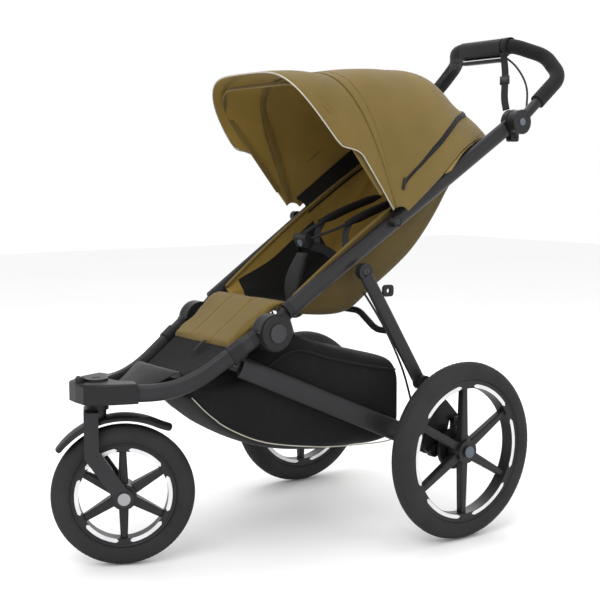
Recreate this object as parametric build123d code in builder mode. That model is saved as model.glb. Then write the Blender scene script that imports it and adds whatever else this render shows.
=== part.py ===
from build123d import *
import os
from math import atan2, cos, hypot, radians, sin

os.makedirs("parts", exist_ok=True)

# ---------------------------------------------------------------- driving sizes, mm and degrees
# Y is given from the rear axle (front is -Y) and Z from the ground; +X is the child's left.
REAR_AXLE_Y = 206.19         # rear axle in the part's frame, which centres the whole length

REAR_WHEEL_R = 200.0
FRONT_WHEEL_R = 150.0
TYRE_R = 23.5
TYRE_WALL = 4.0
TRACK = 617.5                # between the rear tyres' middles
CASTER_Y = -745.0
CASTER_ANGLE = 25.6          # the front wheel stands swivelled by this much
TRAIL = 52.0

TUBE_W = 24.0                # main oval tube
TUBE_H = 38.0
TUBE_WALL = 2.0
SLOPE = 33.25                # rise of the main tubes towards the handle
FLARE = 0.0679               # how much the main tubes spread, X per Y
MAIN_X = 145.0               # main tube's middle at MAIN_Y, MAIN_Z
MAIN_Y = -476.0
MAIN_Z = 455.0
NOSE_TUBE_Z = 369.0          # height of the level front ends of the main tubes

HUB_Y = -409.0               # main fold pivot
HUB_Z = 482.0
HUB_R = 40.0
HUB_GRIP = 14.0              # thickness of the moving knuckle
GAP = 0.5                    # side clearance in pivots
RUN = 0.05                   # radial clearance of pins and axles

LOW_PIVOT_Y = -490.0         # pivot of the lower tubes under the main tubes
LOW_PIVOT_Z = 420.0
LOW_PIVOT_X = 112.0
LOW_W = 22.0
LOW_H = 46.0

LEG_TOP = (188.0, -188.0, 603.0)
LEG_FOOT = (240.0, -68.0, 353.0)
LEG_W = 20.0
LEG_H = 32.0

HANDLE_Y = 262.0             # pivot of the tilting handlebar
HANDLE_Z = 938.0
HANDLE_R = 30.0
BAR_R = 12.5
GRIP_R = 18.0
BAR_TOP_Y = 353.0
BAR_TOP_Z = 1132.0

SEAT_HALF = 134.0
BACK_HALF = 151.0
FABRIC = 10.0                # thickness of the padded fabric

CANOPY_Y = -100.0            # canopy hinge
CANOPY_Z = 715.0
CANOPY_HALF = 207.0
CANOPY_WALL = 3.5
CANOPY_CORNER = 105.0        # radius of the hood's top corners


# ---------------------------------------------------------------- helpers
def at(x, y, z):
    """A point given from the rear axle's middle on the ground."""
    return Vector(x, REAR_AXLE_Y + y, z)


def side(x):
    """The plane seen from the left at x: its own x is Y and its own y is Z."""
    return Plane(origin=(x, REAR_AXLE_Y, 0), x_dir=(0, 1, 0), z_dir=(1, 0, 0))


def main_tube(y):
    """The main tube's middle at y, on its straight stretch."""
    rise = (y - MAIN_Y) * sin(radians(SLOPE)) / cos(radians(SLOPE))
    return at(MAIN_X + (y - MAIN_Y) * FLARE, y, MAIN_Z + rise)


def across(start, heading):
    """A section plane square to heading, with its own x as level as it can be."""
    heading = heading.normalized()
    level = Vector(1, 0, 0) - heading * heading.X
    return Plane(origin=start, x_dir=level, z_dir=heading)


def save(piece, label):
    piece.label = label
    export_step(piece, f"parts/{label}.step")


def save_pair(piece, label):
    """Writes a piece of the left side and its mirror image."""
    save(piece, f"{label}_left")
    save(mirror(piece, about=Plane.YZ), f"{label}_right")


def save_both(piece, label):
    """Writes a piece of the left side and its mirror image as one node of two solids."""
    save(Compound(children=[piece, mirror(piece, about=Plane.YZ)]), label)


def oval_tube(points, radii, width, height, wall):
    """A hollow oval tube along straight runs joined by arcs."""
    with BuildLine() as path:
        if radii:
            FilletPolyline(*points, radius=radii)
        else:
            Line(*points)
    with BuildPart() as tube:
        with BuildSketch(across(points[0], points[1] - points[0])):
            Ellipse(width / 2, height / 2)
            Ellipse(width / 2 - wall, height / 2 - wall, mode=Mode.SUBTRACT)
        sweep(path=path.line)
    return tube.part


def round_bar(points, radii, outer, inner=0.0):
    """A round bar or, with an inner radius, a sleeve along straight runs joined by arcs."""
    with BuildLine() as path:
        FilletPolyline(*points, radius=radii)
    with BuildPart() as bar:
        with BuildSketch(across(points[0], points[1] - points[0])):
            Circle(outer)
            if inner:
                Circle(inner, mode=Mode.SUBTRACT)
        sweep(path=path.line)
    return bar.part


def bend_radii(points, share=0.45):
    """The largest tangent arcs that the runs beside each corner leave room for."""
    radii = []
    for before, corner, after in zip(points, points[1:], points[2:]):
        turn = (corner - before).get_angle(after - corner)
        run = min((corner - before).length, (after - corner).length)
        radii.append(share * run / (sin(radians(turn / 2)) / cos(radians(turn / 2))))
    return radii


# ---------------------------------------------------------------- main tubes, front half
up_slope = (main_tube(0) - main_tube(-100)).normalized()
front_end = main_tube(HUB_Y) - up_slope * (HUB_R + 20)
rear_start = main_tube(HUB_Y) + up_slope * (HUB_R + 20)
nose_end = at(62, -706, NOSE_TUBE_Z)
bend_y = MAIN_Y - (MAIN_Z - NOSE_TUBE_Z - 2) * cos(radians(SLOPE)) / sin(radians(SLOPE))
bend = Vector(MAIN_X + (bend_y - MAIN_Y) * FLARE - 24, REAR_AXLE_Y + bend_y, NOSE_TUBE_Z + 2)
nose_heading = (bend - nose_end).normalized()
front_heading = (front_end - bend).normalized()

front_tube = oval_tube([front_end, bend, nose_end], [220], TUBE_W, TUBE_H, TUBE_WALL)
save_pair(front_tube, "front_tube")

# ---------------------------------------------------------------- nose casting
NOSE_LOW = 351.0
NOSE_TOP = 393.0
STEM_R = 9.0
STEM_HOUSING_R = 25.0
STEM_LOW = 333.0

with BuildPart() as nose:
    with BuildSketch(Plane.XY.offset(NOSE_LOW)):
        with BuildLine():
            outline = Polyline(at(0, -792, 0), at(34, -790, 0), at(70, -745, 0), at(88, -694, 0),
                               at(50, -682, 0), at(30, -706, 0), at(0, -712, 0))
            mirror(outline, about=Plane.YZ)
        make_face()
    extrude(amount=NOSE_TOP - NOSE_LOW)
    fillet(nose.edges().filter_by(Axis.Z).group_by(Axis.Y)[0], 16)
    fillet(nose.faces().sort_by(Axis.Z)[-1].edges(), 6)
    with BuildSketch(Plane(origin=at(0, CASTER_Y, STEM_LOW))):
        Circle(STEM_HOUSING_R)
    extrude(amount=NOSE_TOP + 5 - STEM_LOW)
    with BuildSketch(Plane(origin=at(0, CASTER_Y, 0))):
        Circle(STEM_R + RUN)
    extrude(amount=NOSE_TOP + 20, mode=Mode.SUBTRACT)
    for way in (1, -1):
        mouth = Vector(way * nose_end.X, nose_end.Y, nose_end.Z)
        heading = Vector(way * nose_heading.X, nose_heading.Y, nose_heading.Z)
        with BuildSketch(across(mouth, heading)):
            Ellipse(TUBE_W / 2 + 4, TUBE_H / 2 + 3)
        extrude(amount=-22)
        with BuildSketch(across(mouth, heading)):
            Ellipse(TUBE_W / 2 + 5, TUBE_H / 2 + 3)
        extrude(amount=60, mode=Mode.SUBTRACT)
save(nose.part, "nose_casting")

# ---------------------------------------------------------------- caster lock knob
KNOB_Y = -781.0
with BuildPart() as knob:
    with BuildSketch(Plane(origin=at(0, KNOB_Y, NOSE_TOP + GAP))):
        Circle(10.5)
    extrude(amount=9)
    fillet(knob.faces().sort_by(Axis.Z)[-1].edges(), 3)
    with BuildSketch(Plane(origin=at(0, KNOB_Y, NOSE_TOP + 7))):
        Rectangle(24, 5)
    extrude(amount=4)
save(knob.part, "caster_lock_knob")

# ---------------------------------------------------------------- main fold hubs
hub_x = main_tube(HUB_Y).X - at(0, 0, 0).X
neck_height = 34.0
cheek_in = hub_x - 14.0
cheek_out = 170.0
slot = HUB_GRIP + 2 * GAP

with BuildPart() as hub_housing:
    with BuildSketch(side(cheek_in)):
        with Locations((HUB_Y, HUB_Z)):
            Circle(HUB_R)
        tip_y = front_end.Y - REAR_AXLE_Y + 6
        with Locations(((HUB_Y + tip_y) / 2 + 3, (HUB_Z + front_end.Z) / 2 + 4)):
            Rectangle(hypot(HUB_Y - tip_y, HUB_Z - front_end.Z) - 8, neck_height, rotation=SLOPE - 8)
    extrude(amount=cheek_out - cheek_in)
    with BuildSketch(across(front_end, front_heading)):
        Ellipse(TUBE_W / 2, TUBE_H / 2)
    extrude(amount=16)
    with BuildSketch(side(hub_x - slot / 2)):
        with Locations((HUB_Y, HUB_Z)):
            Circle(HUB_R + 1.5)
    extrude(amount=slot, mode=Mode.SUBTRACT)
    with BuildSketch(across(front_end, front_heading)):
        Rectangle(3 * TUBE_W, 3 * TUBE_H)
    extrude(amount=-40, mode=Mode.SUBTRACT)
    with BuildSketch(side(cheek_in - 5)):
        with Locations((HUB_Y, HUB_Z)):
            Circle(6)
    extrude(amount=60, mode=Mode.SUBTRACT)
save_both(hub_housing.part, "hub_housings")

with BuildPart() as hub_cover:
    with BuildSketch(side(cheek_out)):
        with Locations((HUB_Y, HUB_Z)):
            Circle(HUB_R - 2)
    extrude(amount=7)
    fillet(hub_cover.faces().sort_by(Axis.X)[-1].edges(), 4)
    with BuildSketch(side(cheek_out + 7)):
        with Locations((HUB_Y, HUB_Z)):
            Circle(21.5)
    extrude(amount=1.5)
save_both(hub_cover.part, "hub_covers")

with BuildPart() as upper_hub:
    with BuildSketch(side(hub_x - HUB_GRIP / 2)):
        with Locations((HUB_Y, HUB_Z)):
            Circle(HUB_R)
        start_y = rear_start.Y - REAR_AXLE_Y
        with Locations(((HUB_Y + start_y) / 2, (HUB_Z + rear_start.Z) / 2)):
            Rectangle(hypot(HUB_Y - start_y, HUB_Z - rear_start.Z) - 4, neck_height - 6,
                      rotation=SLOPE + 10)
    extrude(amount=HUB_GRIP)
    with BuildSketch(across(rear_start, up_slope)):
        Ellipse(TUBE_W / 2, TUBE_H / 2)
    extrude(amount=-15)
    with BuildSketch(across(rear_start, up_slope)):
        Rectangle(3 * TUBE_W, 3 * TUBE_H)
    extrude(amount=30, mode=Mode.SUBTRACT)
    with BuildSketch(side(cheek_in)):
        with Locations((HUB_Y, HUB_Z)):
            Circle(6 + RUN)
    extrude(amount=60, mode=Mode.SUBTRACT)
save_both(upper_hub.part, "upper_hubs")

with BuildPart() as hub_pin:
    with BuildSketch(side(cheek_in)):
        with Locations((HUB_Y, HUB_Z)):
            Circle(6)
    extrude(amount=cheek_out - cheek_in)
    with BuildSketch(side(cheek_in - 3)):
        with Locations((HUB_Y, HUB_Z)):
            Circle(10)
    extrude(amount=3)
save_both(hub_pin.part, "hub_pins")

# ---------------------------------------------------------------- lower tube pivot brackets
LUG_T = 14.0
low_y = LOW_PIVOT_Y
tube_over = front_end - front_heading * ((front_end.Y - REAR_AXLE_Y - low_y) / front_heading.Y)
bracket_out = tube_over.X - TUBE_W / 2 + 3
lug_out = LOW_PIVOT_X + LUG_T / 2

with BuildPart() as low_bracket:
    with BuildSketch(across(tube_over - front_heading * 16, front_heading)):
        Ellipse(TUBE_W / 2 + 3, TUBE_H / 2 + 3)
        Ellipse(TUBE_W / 2, TUBE_H / 2, mode=Mode.SUBTRACT)
    extrude(amount=32)
    with BuildSketch(side(lug_out + GAP)):
        with Locations((low_y, LOW_PIVOT_Z)):
            Circle(14)
        with Locations((low_y, (LOW_PIVOT_Z + tube_over.Z) / 2)):
            Rectangle(28, tube_over.Z - LOW_PIVOT_Z)
    extrude(amount=bracket_out - lug_out - GAP)
    with BuildSketch(side(lug_out - LUG_T - 3)):
        with Locations((low_y, LOW_PIVOT_Z)):
            Circle(6)
    extrude(amount=bracket_out - lug_out + LUG_T + 3)
    with BuildSketch(side(lug_out - LUG_T - 6)):
        with Locations((low_y, LOW_PIVOT_Z)):
            Circle(10)
    extrude(amount=6 - GAP)
    with BuildSketch(across(tube_over - front_heading * 30, front_heading)):
        Ellipse(TUBE_W / 2, TUBE_H / 2)
    extrude(amount=60, mode=Mode.SUBTRACT)
save_both(low_bracket.part, "pivot_brackets")

# ---------------------------------------------------------------- footrest, footwell and leg pad
FOOT_FRONT_Y = -684.0
FOOT_REAR_Y = -604.0
with BuildPart() as footrest:
    with BuildSketch(Plane.XY.offset(NOSE_TUBE_Z - 8)):
        with BuildLine():
            edge = Polyline(at(0, FOOT_FRONT_Y, 0), at(44, FOOT_FRONT_Y, 0), at(86, FOOT_REAR_Y, 0),
                            at(0, FOOT_REAR_Y, 0))
            mirror(edge, about=Plane.YZ)
        make_face()
    extrude(amount=16)
    fillet(footrest.edges().filter_by(Axis.X).sort_by(Axis.Z)[-1:], 6)
    with BuildSketch(Plane.XY.offset(NOSE_TUBE_Z)):
        with BuildLine():
            edge = Polyline(at(0, FOOT_FRONT_Y + 14, 0), at(40, FOOT_FRONT_Y + 14, 0),
                            at(76, FOOT_REAR_Y - 8, 0), at(0, FOOT_REAR_Y - 8, 0))
            mirror(edge, about=Plane.YZ)
        make_face()
    extrude(amount=10, mode=Mode.SUBTRACT)
save(footrest.part, "footrest_tray")


def sloped_pad(y0, z0, y1, z1, half0, half1, thick):
    """A flat pad from a front edge to a rear edge, each with its own half width."""
    run = atan2(z1 - z0, y1 - y0)
    length = hypot(y1 - y0, z1 - z0)
    plane = Plane(origin=at(0, y0, z0), x_dir=(1, 0, 0), z_dir=(0, -sin(run), cos(run)))
    with BuildPart() as pad:
        with BuildSketch(plane):
            Polygon((-half0, 0), (half0, 0), (half1, length), (-half1, length), align=None)
        extrude(amount=-thick)
    return pad.part


PAD_LOW_Y = -502.0
PAD_LOW_Z = 456.0
PAD_TOP_Y = -358.0
PAD_TOP_Z = 548.0
save(sloped_pad(-600, 381, PAD_LOW_Y - 3, PAD_LOW_Z - 4, 86, 98, 4), "footwell_panel")
save(sloped_pad(PAD_LOW_Y, PAD_LOW_Z, PAD_TOP_Y, PAD_TOP_Z, 108, 120, 14), "leg_rest_pad")

# ---------------------------------------------------------------- fork, fender and front axle
swivel = radians(CASTER_ANGLE)
caster = Plane(origin=at(0, CASTER_Y, 0), x_dir=(cos(swivel), -sin(swivel), 0), z_dir=(0, 0, 1))


def in_caster(plane):
    """A plane given in the fork's own directions: x along the axle, y backwards, z up."""
    return Plane(caster.location * plane.location)


def fork_side(x):
    return in_caster(Plane(origin=(x, 0, 0), x_dir=(0, 1, 0), z_dir=(1, 0, 0)))


BLADE_IN = 31.5
BLADE_T = 8.0
BLADE_H = 30.0
CROWN_Z = 315.0
FENDER_R = 167.0
FENDER_T = 3.0
FRONT_AXLE_R = 5.0
CROWN_TOP = STEM_LOW - 1.5

with BuildPart() as fork:
    for x in (BLADE_IN, -BLADE_IN - BLADE_T):
        with BuildSketch(fork_side(x)):
            with BuildLine():
                Polyline((-27, CROWN_TOP), (-27, 236), (TRAIL - 12, FRONT_WHEEL_R - 12),
                         (TRAIL + 13, FRONT_WHEEL_R + 9), (3, 252), (3, CROWN_TOP), close=True)
            make_face()
            with Locations((TRAIL, FRONT_WHEEL_R)):
                Circle(20)
        extrude(amount=BLADE_T)
    with BuildSketch(fork_side(-BLADE_IN - BLADE_T)):
        with Locations((-12, (CROWN_Z + CROWN_TOP) / 2)):
            Rectangle(BLADE_H, CROWN_TOP - CROWN_Z)
    extrude(amount=2 * (BLADE_IN + BLADE_T))
    with BuildSketch(in_caster(Plane.XY.offset(CROWN_Z))):
        Circle(20)
    extrude(amount=CROWN_TOP - CROWN_Z)
    with BuildSketch(in_caster(Plane.XY.offset(CROWN_TOP))):
        Circle(STEM_R)
    extrude(amount=NOSE_TOP + 4 - CROWN_TOP)
    with BuildSketch(fork_side(0)):
        with Locations((TRAIL, FRONT_WHEEL_R)):
            Circle(FENDER_R + FENDER_T + 0.5)
            Circle(FENDER_R - 20, mode=Mode.SUBTRACT)
    extrude(amount=BLADE_IN - 0.5, both=True, mode=Mode.SUBTRACT)
    with BuildSketch(fork_side(0)):
        with Locations((TRAIL, FRONT_WHEEL_R)):
            Circle(FRONT_AXLE_R)
    extrude(amount=60, both=True, mode=Mode.SUBTRACT)
save(fork.part, "fork")

with BuildPart() as fender:
    with BuildSketch(fork_side(-BLADE_IN + 1)):
        with Locations((TRAIL, FRONT_WHEEL_R)):
            Circle(FENDER_R + FENDER_T)
            Circle(FENDER_R, mode=Mode.SUBTRACT)
        with BuildLine():
            reach = 400
            Polyline((TRAIL, FRONT_WHEEL_R), (TRAIL + reach * cos(radians(53)),
                     FRONT_WHEEL_R + reach * sin(radians(53))), (TRAIL, FRONT_WHEEL_R + 2 * reach),
                     (TRAIL + reach * cos(radians(145)), FRONT_WHEEL_R + reach * sin(radians(145))),
                     close=True)
        make_face(mode=Mode.INTERSECT)
    extrude(amount=2 * (BLADE_IN - 1))
save(fender.part, "front_fender")

with BuildPart() as front_axle:
    with BuildSketch(fork_side(-BLADE_IN - BLADE_T - 6)):
        with Locations((TRAIL, FRONT_WHEEL_R)):
            Circle(FRONT_AXLE_R)
    extrude(amount=2 * (BLADE_IN + BLADE_T) + 6)
    with BuildSketch(fork_side(BLADE_IN + BLADE_T)):
        with Locations((TRAIL, FRONT_WHEEL_R)):
            Circle(13)
    extrude(amount=7)
save(front_axle.part, "front_axle")

LEVER_X = -BLADE_IN - BLADE_T - 6
with BuildPart() as quick_lever:
    with BuildSketch(fork_side(LEVER_X - 8)):
        with Locations((TRAIL, FRONT_WHEEL_R)):
            Circle(10)
        with Locations((TRAIL - 20, FRONT_WHEEL_R + 22)):
            Rectangle(52, 12, rotation=132)
    extrude(amount=8 - GAP)
save(quick_lever.part, "quick_release_lever")


# ---------------------------------------------------------------- wheels
def wheel(label, plane, wheel_r, rim_depth, hub_r, hub_half, bore_r, spoke_in):
    """Tyre and six-spoke rim around an axle along the plane's normal."""
    rim_r = wheel_r - 2 * TYRE_R + 8
    rim_half = 15.0
    radial = Plane(origin=plane.origin, x_dir=plane.x_dir,
                   z_dir=plane.x_dir.cross(plane.z_dir))
    axle = Axis(plane.origin, plane.z_dir)
    with BuildPart() as tyre:
        with BuildSketch(radial):
            with Locations((wheel_r - TYRE_R, 0)):
                Circle(TYRE_R)
                Circle(TYRE_R - TYRE_WALL, mode=Mode.SUBTRACT)
            with Locations((rim_r - 50, 0)):
                Rectangle(100, 4 * TYRE_R, mode=Mode.SUBTRACT)
        revolve(axis=axle)
    save(tyre.part, f"{label}_tyre" if label == "front" else f"rear_tyre_{label}")
    with BuildPart() as rim:
        with BuildSketch(radial):
            with Locations((rim_r - rim_depth / 2, 0)):
                Rectangle(rim_depth, 2 * rim_half)
            with Locations(((hub_r + bore_r) / 2, 0)):
                Rectangle(hub_r - bore_r, 2 * hub_half)
        revolve(axis=axle)
        for n in range(6):
            turn = Location(plane) * Location((0, 0, 0), (0, 0, 60 * n + 30))
            root = turn * Location((spoke_in, 0, 0), (0, 90, 0))
            tip = turn * Location((rim_r - rim_depth / 2, 0, 0), (0, 90, 0))
            with BuildSketch(Plane(root)):
                RectangleRounded(2 * hub_half * 0.55, 21, 5)
            with BuildSketch(Plane(tip)):
                RectangleRounded(18, 14, 4)
            loft()
        with BuildSketch(radial):
            with Locations((bore_r / 2, 0)):
                Rectangle(bore_r, 8 * hub_half)
        revolve(axis=axle, mode=Mode.SUBTRACT)
    save(rim.part, f"{label}_rim" if label == "front" else f"rear_rim_{label}")


front_wheel_plane = in_caster(Plane(origin=(0, TRAIL, FRONT_WHEEL_R), x_dir=(0, 1, 0),
                                    z_dir=(1, 0, 0)))
wheel("front", front_wheel_plane, FRONT_WHEEL_R, rim_depth=18, hub_r=27,
      hub_half=BLADE_IN - 1.5, bore_r=FRONT_AXLE_R + RUN, spoke_in=22)

REAR_HUB_HALF = 19.0
STUB_R = 7.0
BUTTON_R = 13.0
wheel_x = TRACK / 2
for label, way in (("left", 1), ("right", -1)):
    rear_plane = Plane(origin=at(way * wheel_x, 0, REAR_WHEEL_R), x_dir=(0, 1, 0), z_dir=(way, 0, 0))
    wheel(label, rear_plane, REAR_WHEEL_R, rim_depth=19, hub_r=26, hub_half=REAR_HUB_HALF,
          bore_r=STUB_R + RUN, spoke_in=21)

with BuildPart() as button:
    with BuildSketch(side(wheel_x + REAR_HUB_HALF - 4)):
        with Locations((0, REAR_WHEEL_R)):
            Circle(STUB_R - 0.6)
    extrude(amount=8)
    with BuildSketch(side(wheel_x + REAR_HUB_HALF + 3.5)):
        with Locations((0, REAR_WHEEL_R)):
            Circle(BUTTON_R)
    extrude(amount=4)
    fillet(button.faces().sort_by(Axis.X)[-1].edges(), 1.5)
save_pair(button.part, "hub_button")

# ---------------------------------------------------------------- suspension arms with brake drums
ARM_IN = wheel_x - 48.5
ARM_T = 10.0
DRUM_R = 47.0
DRUM_OUT = wheel_x - REAR_HUB_HALF - 3
ARM_PIVOT_Y = -46.0
ARM_PIVOT_Z = REAR_WHEEL_R - 4
SPRING_Y = 26.0
SPRING_LOW = REAR_WHEEL_R + 30
SPRING_TOP = REAR_WHEEL_R + 58

with BuildPart() as arm:
    with BuildSketch(side(ARM_IN)):
        with Locations((ARM_PIVOT_Y, ARM_PIVOT_Z)):
            Circle(13)
        with Locations((ARM_PIVOT_Y / 2, (ARM_PIVOT_Z + REAR_WHEEL_R) / 2)):
            Rectangle(-ARM_PIVOT_Y, 24)
        with Locations((0, REAR_WHEEL_R)):
            Circle(20)
        with Locations((SPRING_Y - 6, REAR_WHEEL_R + 14)):
            Rectangle(26, 32)
    extrude(amount=ARM_T)
    with BuildSketch(side(ARM_IN + ARM_T)):
        with Locations((0, REAR_WHEEL_R)):
            Circle(DRUM_R - 22)
    extrude(amount=DRUM_OUT - ARM_IN - ARM_T - 9)
    with BuildSketch(side(DRUM_OUT - 9)):
        with Locations((0, REAR_WHEEL_R)):
            Circle(DRUM_R)
    extrude(amount=9)
    with BuildSketch(side(DRUM_OUT)):
        with Locations((0, REAR_WHEEL_R)):
            Circle(STUB_R)
    extrude(amount=wheel_x + REAR_HUB_HALF - 9 - DRUM_OUT)
    with BuildSketch(side(ARM_IN - 1)):
        with Locations((ARM_PIVOT_Y, ARM_PIVOT_Z)):
            Circle(5 + RUN)
    extrude(amount=ARM_T + 2, mode=Mode.SUBTRACT)
save_pair(arm.part, "suspension_arm")

with BuildPart() as rubber:
    for n in range(4):
        with BuildSketch(Plane(origin=at(ARM_IN + ARM_T / 2 - 6, SPRING_Y - 6, SPRING_LOW + 7 * n))):
            Circle(9)
        extrude(amount=5)
    with BuildSketch(Plane(origin=at(ARM_IN + ARM_T / 2 - 6, SPRING_Y - 6, SPRING_LOW))):
        Circle(6.5)
    extrude(amount=SPRING_TOP - SPRING_LOW)
save_both(rubber.part, "suspension_rubbers")

# ---------------------------------------------------------------- lower tubes, uprights, axle beam
UPRIGHT_X = ARM_IN - GAP
UPRIGHT_T = 12.0
low_pivot = at(LOW_PIVOT_X, LOW_PIVOT_Y, LOW_PIVOT_Z)
low_end = at(UPRIGHT_X - LOW_W / 2 - 1, -44, REAR_WHEEL_R + 8)
low_heading = (low_end - low_pivot).normalized()
low_start = low_pivot + low_heading * 42
low_stop = low_end - low_heading * 26

with BuildPart() as lower_tube:
    add(oval_tube([low_start, low_stop], None, LOW_W, LOW_H, TUBE_WALL))
    with BuildSketch(side(LOW_PIVOT_X - LUG_T / 2)):
        with Locations((LOW_PIVOT_Y, LOW_PIVOT_Z)):
            Circle(15)
        with Locations((LOW_PIVOT_Y + 18, LOW_PIVOT_Z - 9)):
            Rectangle(36, 26, rotation=-25.6)
    extrude(amount=LUG_T)
    with BuildSketch(across(low_start, low_heading)):
        Ellipse(LOW_W / 2, LOW_H / 2)
    extrude(amount=-14)
    with BuildSketch(side(LOW_PIVOT_X - LUG_T)):
        with Locations((LOW_PIVOT_Y, LOW_PIVOT_Z)):
            Circle(6 + RUN)
    extrude(amount=3 * LUG_T, mode=Mode.SUBTRACT)
save_pair(lower_tube.part, "lower_tube")

with BuildPart() as upright:
    with BuildSketch(side(UPRIGHT_X - UPRIGHT_T)):
        with BuildLine():
            Polyline((LEG_FOOT[1] - 13, LEG_FOOT[2] + 6), (LEG_FOOT[1] + 13, LEG_FOOT[2] + 8),
                     (SPRING_Y + 6, SPRING_TOP + 12), (SPRING_Y + 6, SPRING_TOP + 2),
                     (SPRING_Y - 20, SPRING_TOP), (-12, ARM_PIVOT_Z - 8),
                     (ARM_PIVOT_Y, ARM_PIVOT_Z - 14), (ARM_PIVOT_Y - 20, ARM_PIVOT_Z + 4),
                     close=True)
        make_face()
        with Locations((LEG_FOOT[1], LEG_FOOT[2])):
            Circle(16)
    extrude(amount=UPRIGHT_T)
    with BuildSketch(side(UPRIGHT_X)):
        with Locations((SPRING_Y - 6, SPRING_TOP + 5)):
            Rectangle(24, 10)
    extrude(amount=14)
    with BuildSketch(side(UPRIGHT_X)):
        with Locations((ARM_PIVOT_Y, ARM_PIVOT_Z)):
            Circle(5)
    extrude(amount=ARM_T + GAP + 2)
    with BuildSketch(across(low_stop, low_heading)):
        Ellipse(LOW_W / 2, LOW_H / 2)
    extrude(amount=24)
    with BuildSketch(across(low_stop, low_heading)):
        Ellipse(LOW_W / 2 + 0.05, LOW_H / 2 + 0.05)
    extrude(amount=-60, mode=Mode.SUBTRACT)
    with BuildSketch(side(UPRIGHT_X - UPRIGHT_T - 20)):
        with Locations((LEG_FOOT[1], LEG_FOOT[2])):
            Circle(6)
    extrude(amount=20)
save_both(upright.part, "uprights")

BEAM_Z = REAR_WHEEL_R + 14
BEAM_Y = -28.0
with BuildPart() as beam:
    with BuildSketch(side(0)):
        with Locations((BEAM_Y, BEAM_Z)):
            Circle(13)
            Circle(11, mode=Mode.SUBTRACT)
    extrude(amount=UPRIGHT_X - UPRIGHT_T, both=True)
    for way in (1, -1):
        with BuildSketch(across(Vector(way * low_stop.X, low_stop.Y, low_stop.Z),
                                Vector(way * low_heading.X, low_heading.Y, low_heading.Z))):
            Ellipse(LOW_W / 2, LOW_H / 2)
        extrude(amount=26, mode=Mode.SUBTRACT)
save(beam.part, "axle_beam")

# ---------------------------------------------------------------- rear legs
top = at(*LEG_TOP)
foot = at(*LEG_FOOT)
leg_heading = (foot - top).normalized()
leg_start = top + leg_heading * 18
leg_stop = foot - leg_heading * 18
LEG_LUG_IN = UPRIGHT_X - UPRIGHT_T - GAP - 12

with BuildPart() as leg:
    add(oval_tube([leg_start, leg_stop], None, LEG_W, LEG_H, TUBE_WALL))
    with BuildSketch(side(LEG_TOP[0] - 8)):
        with Locations((LEG_TOP[1], LEG_TOP[2])):
            Circle(18)
    extrude(amount=16)
    with BuildSketch(across(leg_start, leg_heading)):
        Ellipse(LEG_W / 2, LEG_H / 2)
    extrude(amount=-8)
    with BuildSketch(side(LEG_LUG_IN)):
        with Locations((LEG_FOOT[1], LEG_FOOT[2])):
            Circle(17)
    extrude(amount=12)
    with BuildSketch(across(leg_stop, leg_heading)):
        Ellipse(LEG_W / 2 - 1, LEG_H / 2)
    extrude(amount=8)
    with BuildSketch(side(LEG_LUG_IN - 15)):
        with Locations((LEG_FOOT[1], LEG_FOOT[2])):
            Circle(6 + RUN)
    extrude(amount=40, mode=Mode.SUBTRACT)
save_pair(leg.part, "rear_leg")

along = leg_heading * 150
brace_end = top + along
with BuildPart() as brace:
    inner_x = brace_end.X - LEG_W / 2 - 1.9
    brace_points = [Vector(inner_x, brace_end.Y + 1, brace_end.Z - 2),
                    Vector(inner_x - 50, brace_end.Y, brace_end.Z - 4),
                    Vector(inner_x - 110, brace_end.Y - 2, brace_end.Z + 34),
                    Vector(-inner_x + 110, brace_end.Y - 2, brace_end.Z + 34),
                    Vector(-inner_x + 50, brace_end.Y, brace_end.Z - 4),
                    Vector(-inner_x, brace_end.Y + 1, brace_end.Z - 2)]
    add(round_bar(brace_points, [60, 50, 50, 60], 7.5))
save(brace.part, "leg_brace")

with BuildPart() as strap_tab:
    with BuildSketch(side(LEG_TOP[0] + 6)):
        tab_y = LEG_TOP[1] + 60 * leg_heading.Y
        tab_z = LEG_TOP[2] + 60 * leg_heading.Z
        with Locations((tab_y + 36, tab_z + 8)):
            RectangleRounded(30, 26, 8)
            Circle(5, mode=Mode.SUBTRACT)
    extrude(amount=5)
save_both(strap_tab.part, "strap_tabs")

# ---------------------------------------------------------------- upper tubes and cross tube
HOUSING_IN = 182.0
HOUSING_OUT = 199.0
handle_side = main_tube(HANDLE_Y - 30)
upper_tube = oval_tube([rear_start, handle_side], None, TUBE_W, TUBE_H, TUBE_WALL)
save_pair(upper_tube, "upper_tube")

with BuildPart() as handle_housing:
    with BuildSketch(side(HOUSING_IN)):
        with Locations((HANDLE_Y, HANDLE_Z)):
            Circle(HANDLE_R)
    extrude(amount=HOUSING_OUT - HOUSING_IN)
    with BuildSketch(across(handle_side, up_slope)):
        Ellipse(TUBE_W / 2, TUBE_H / 2)
    extrude(amount=16)
    with BuildSketch(side(HOUSING_OUT)):
        with Locations((HANDLE_Y, HANDLE_Z)):
            Rectangle(4 * HANDLE_R, 4 * HANDLE_R)
    extrude(amount=20, mode=Mode.SUBTRACT)
    with BuildSketch(side(HOUSING_IN)):
        with Locations((HANDLE_Y + 2, HANDLE_Z - HANDLE_R - 5)):
            RectangleRounded(26, 22, 6)
    extrude(amount=HOUSING_OUT - HOUSING_IN)
    with BuildSketch(side(HOUSING_OUT)):
        with Locations((HANDLE_Y, HANDLE_Z)):
            Circle(8)
    extrude(amount=12)
    with BuildSketch(side(HOUSING_IN - 1)):
        with Locations((HANDLE_Y + 2, HANDLE_Z - HANDLE_R - 6)):
            Circle(2.5)
    extrude(amount=30, mode=Mode.SUBTRACT)
save_both(handle_housing.part, "handle_housings")

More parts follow.
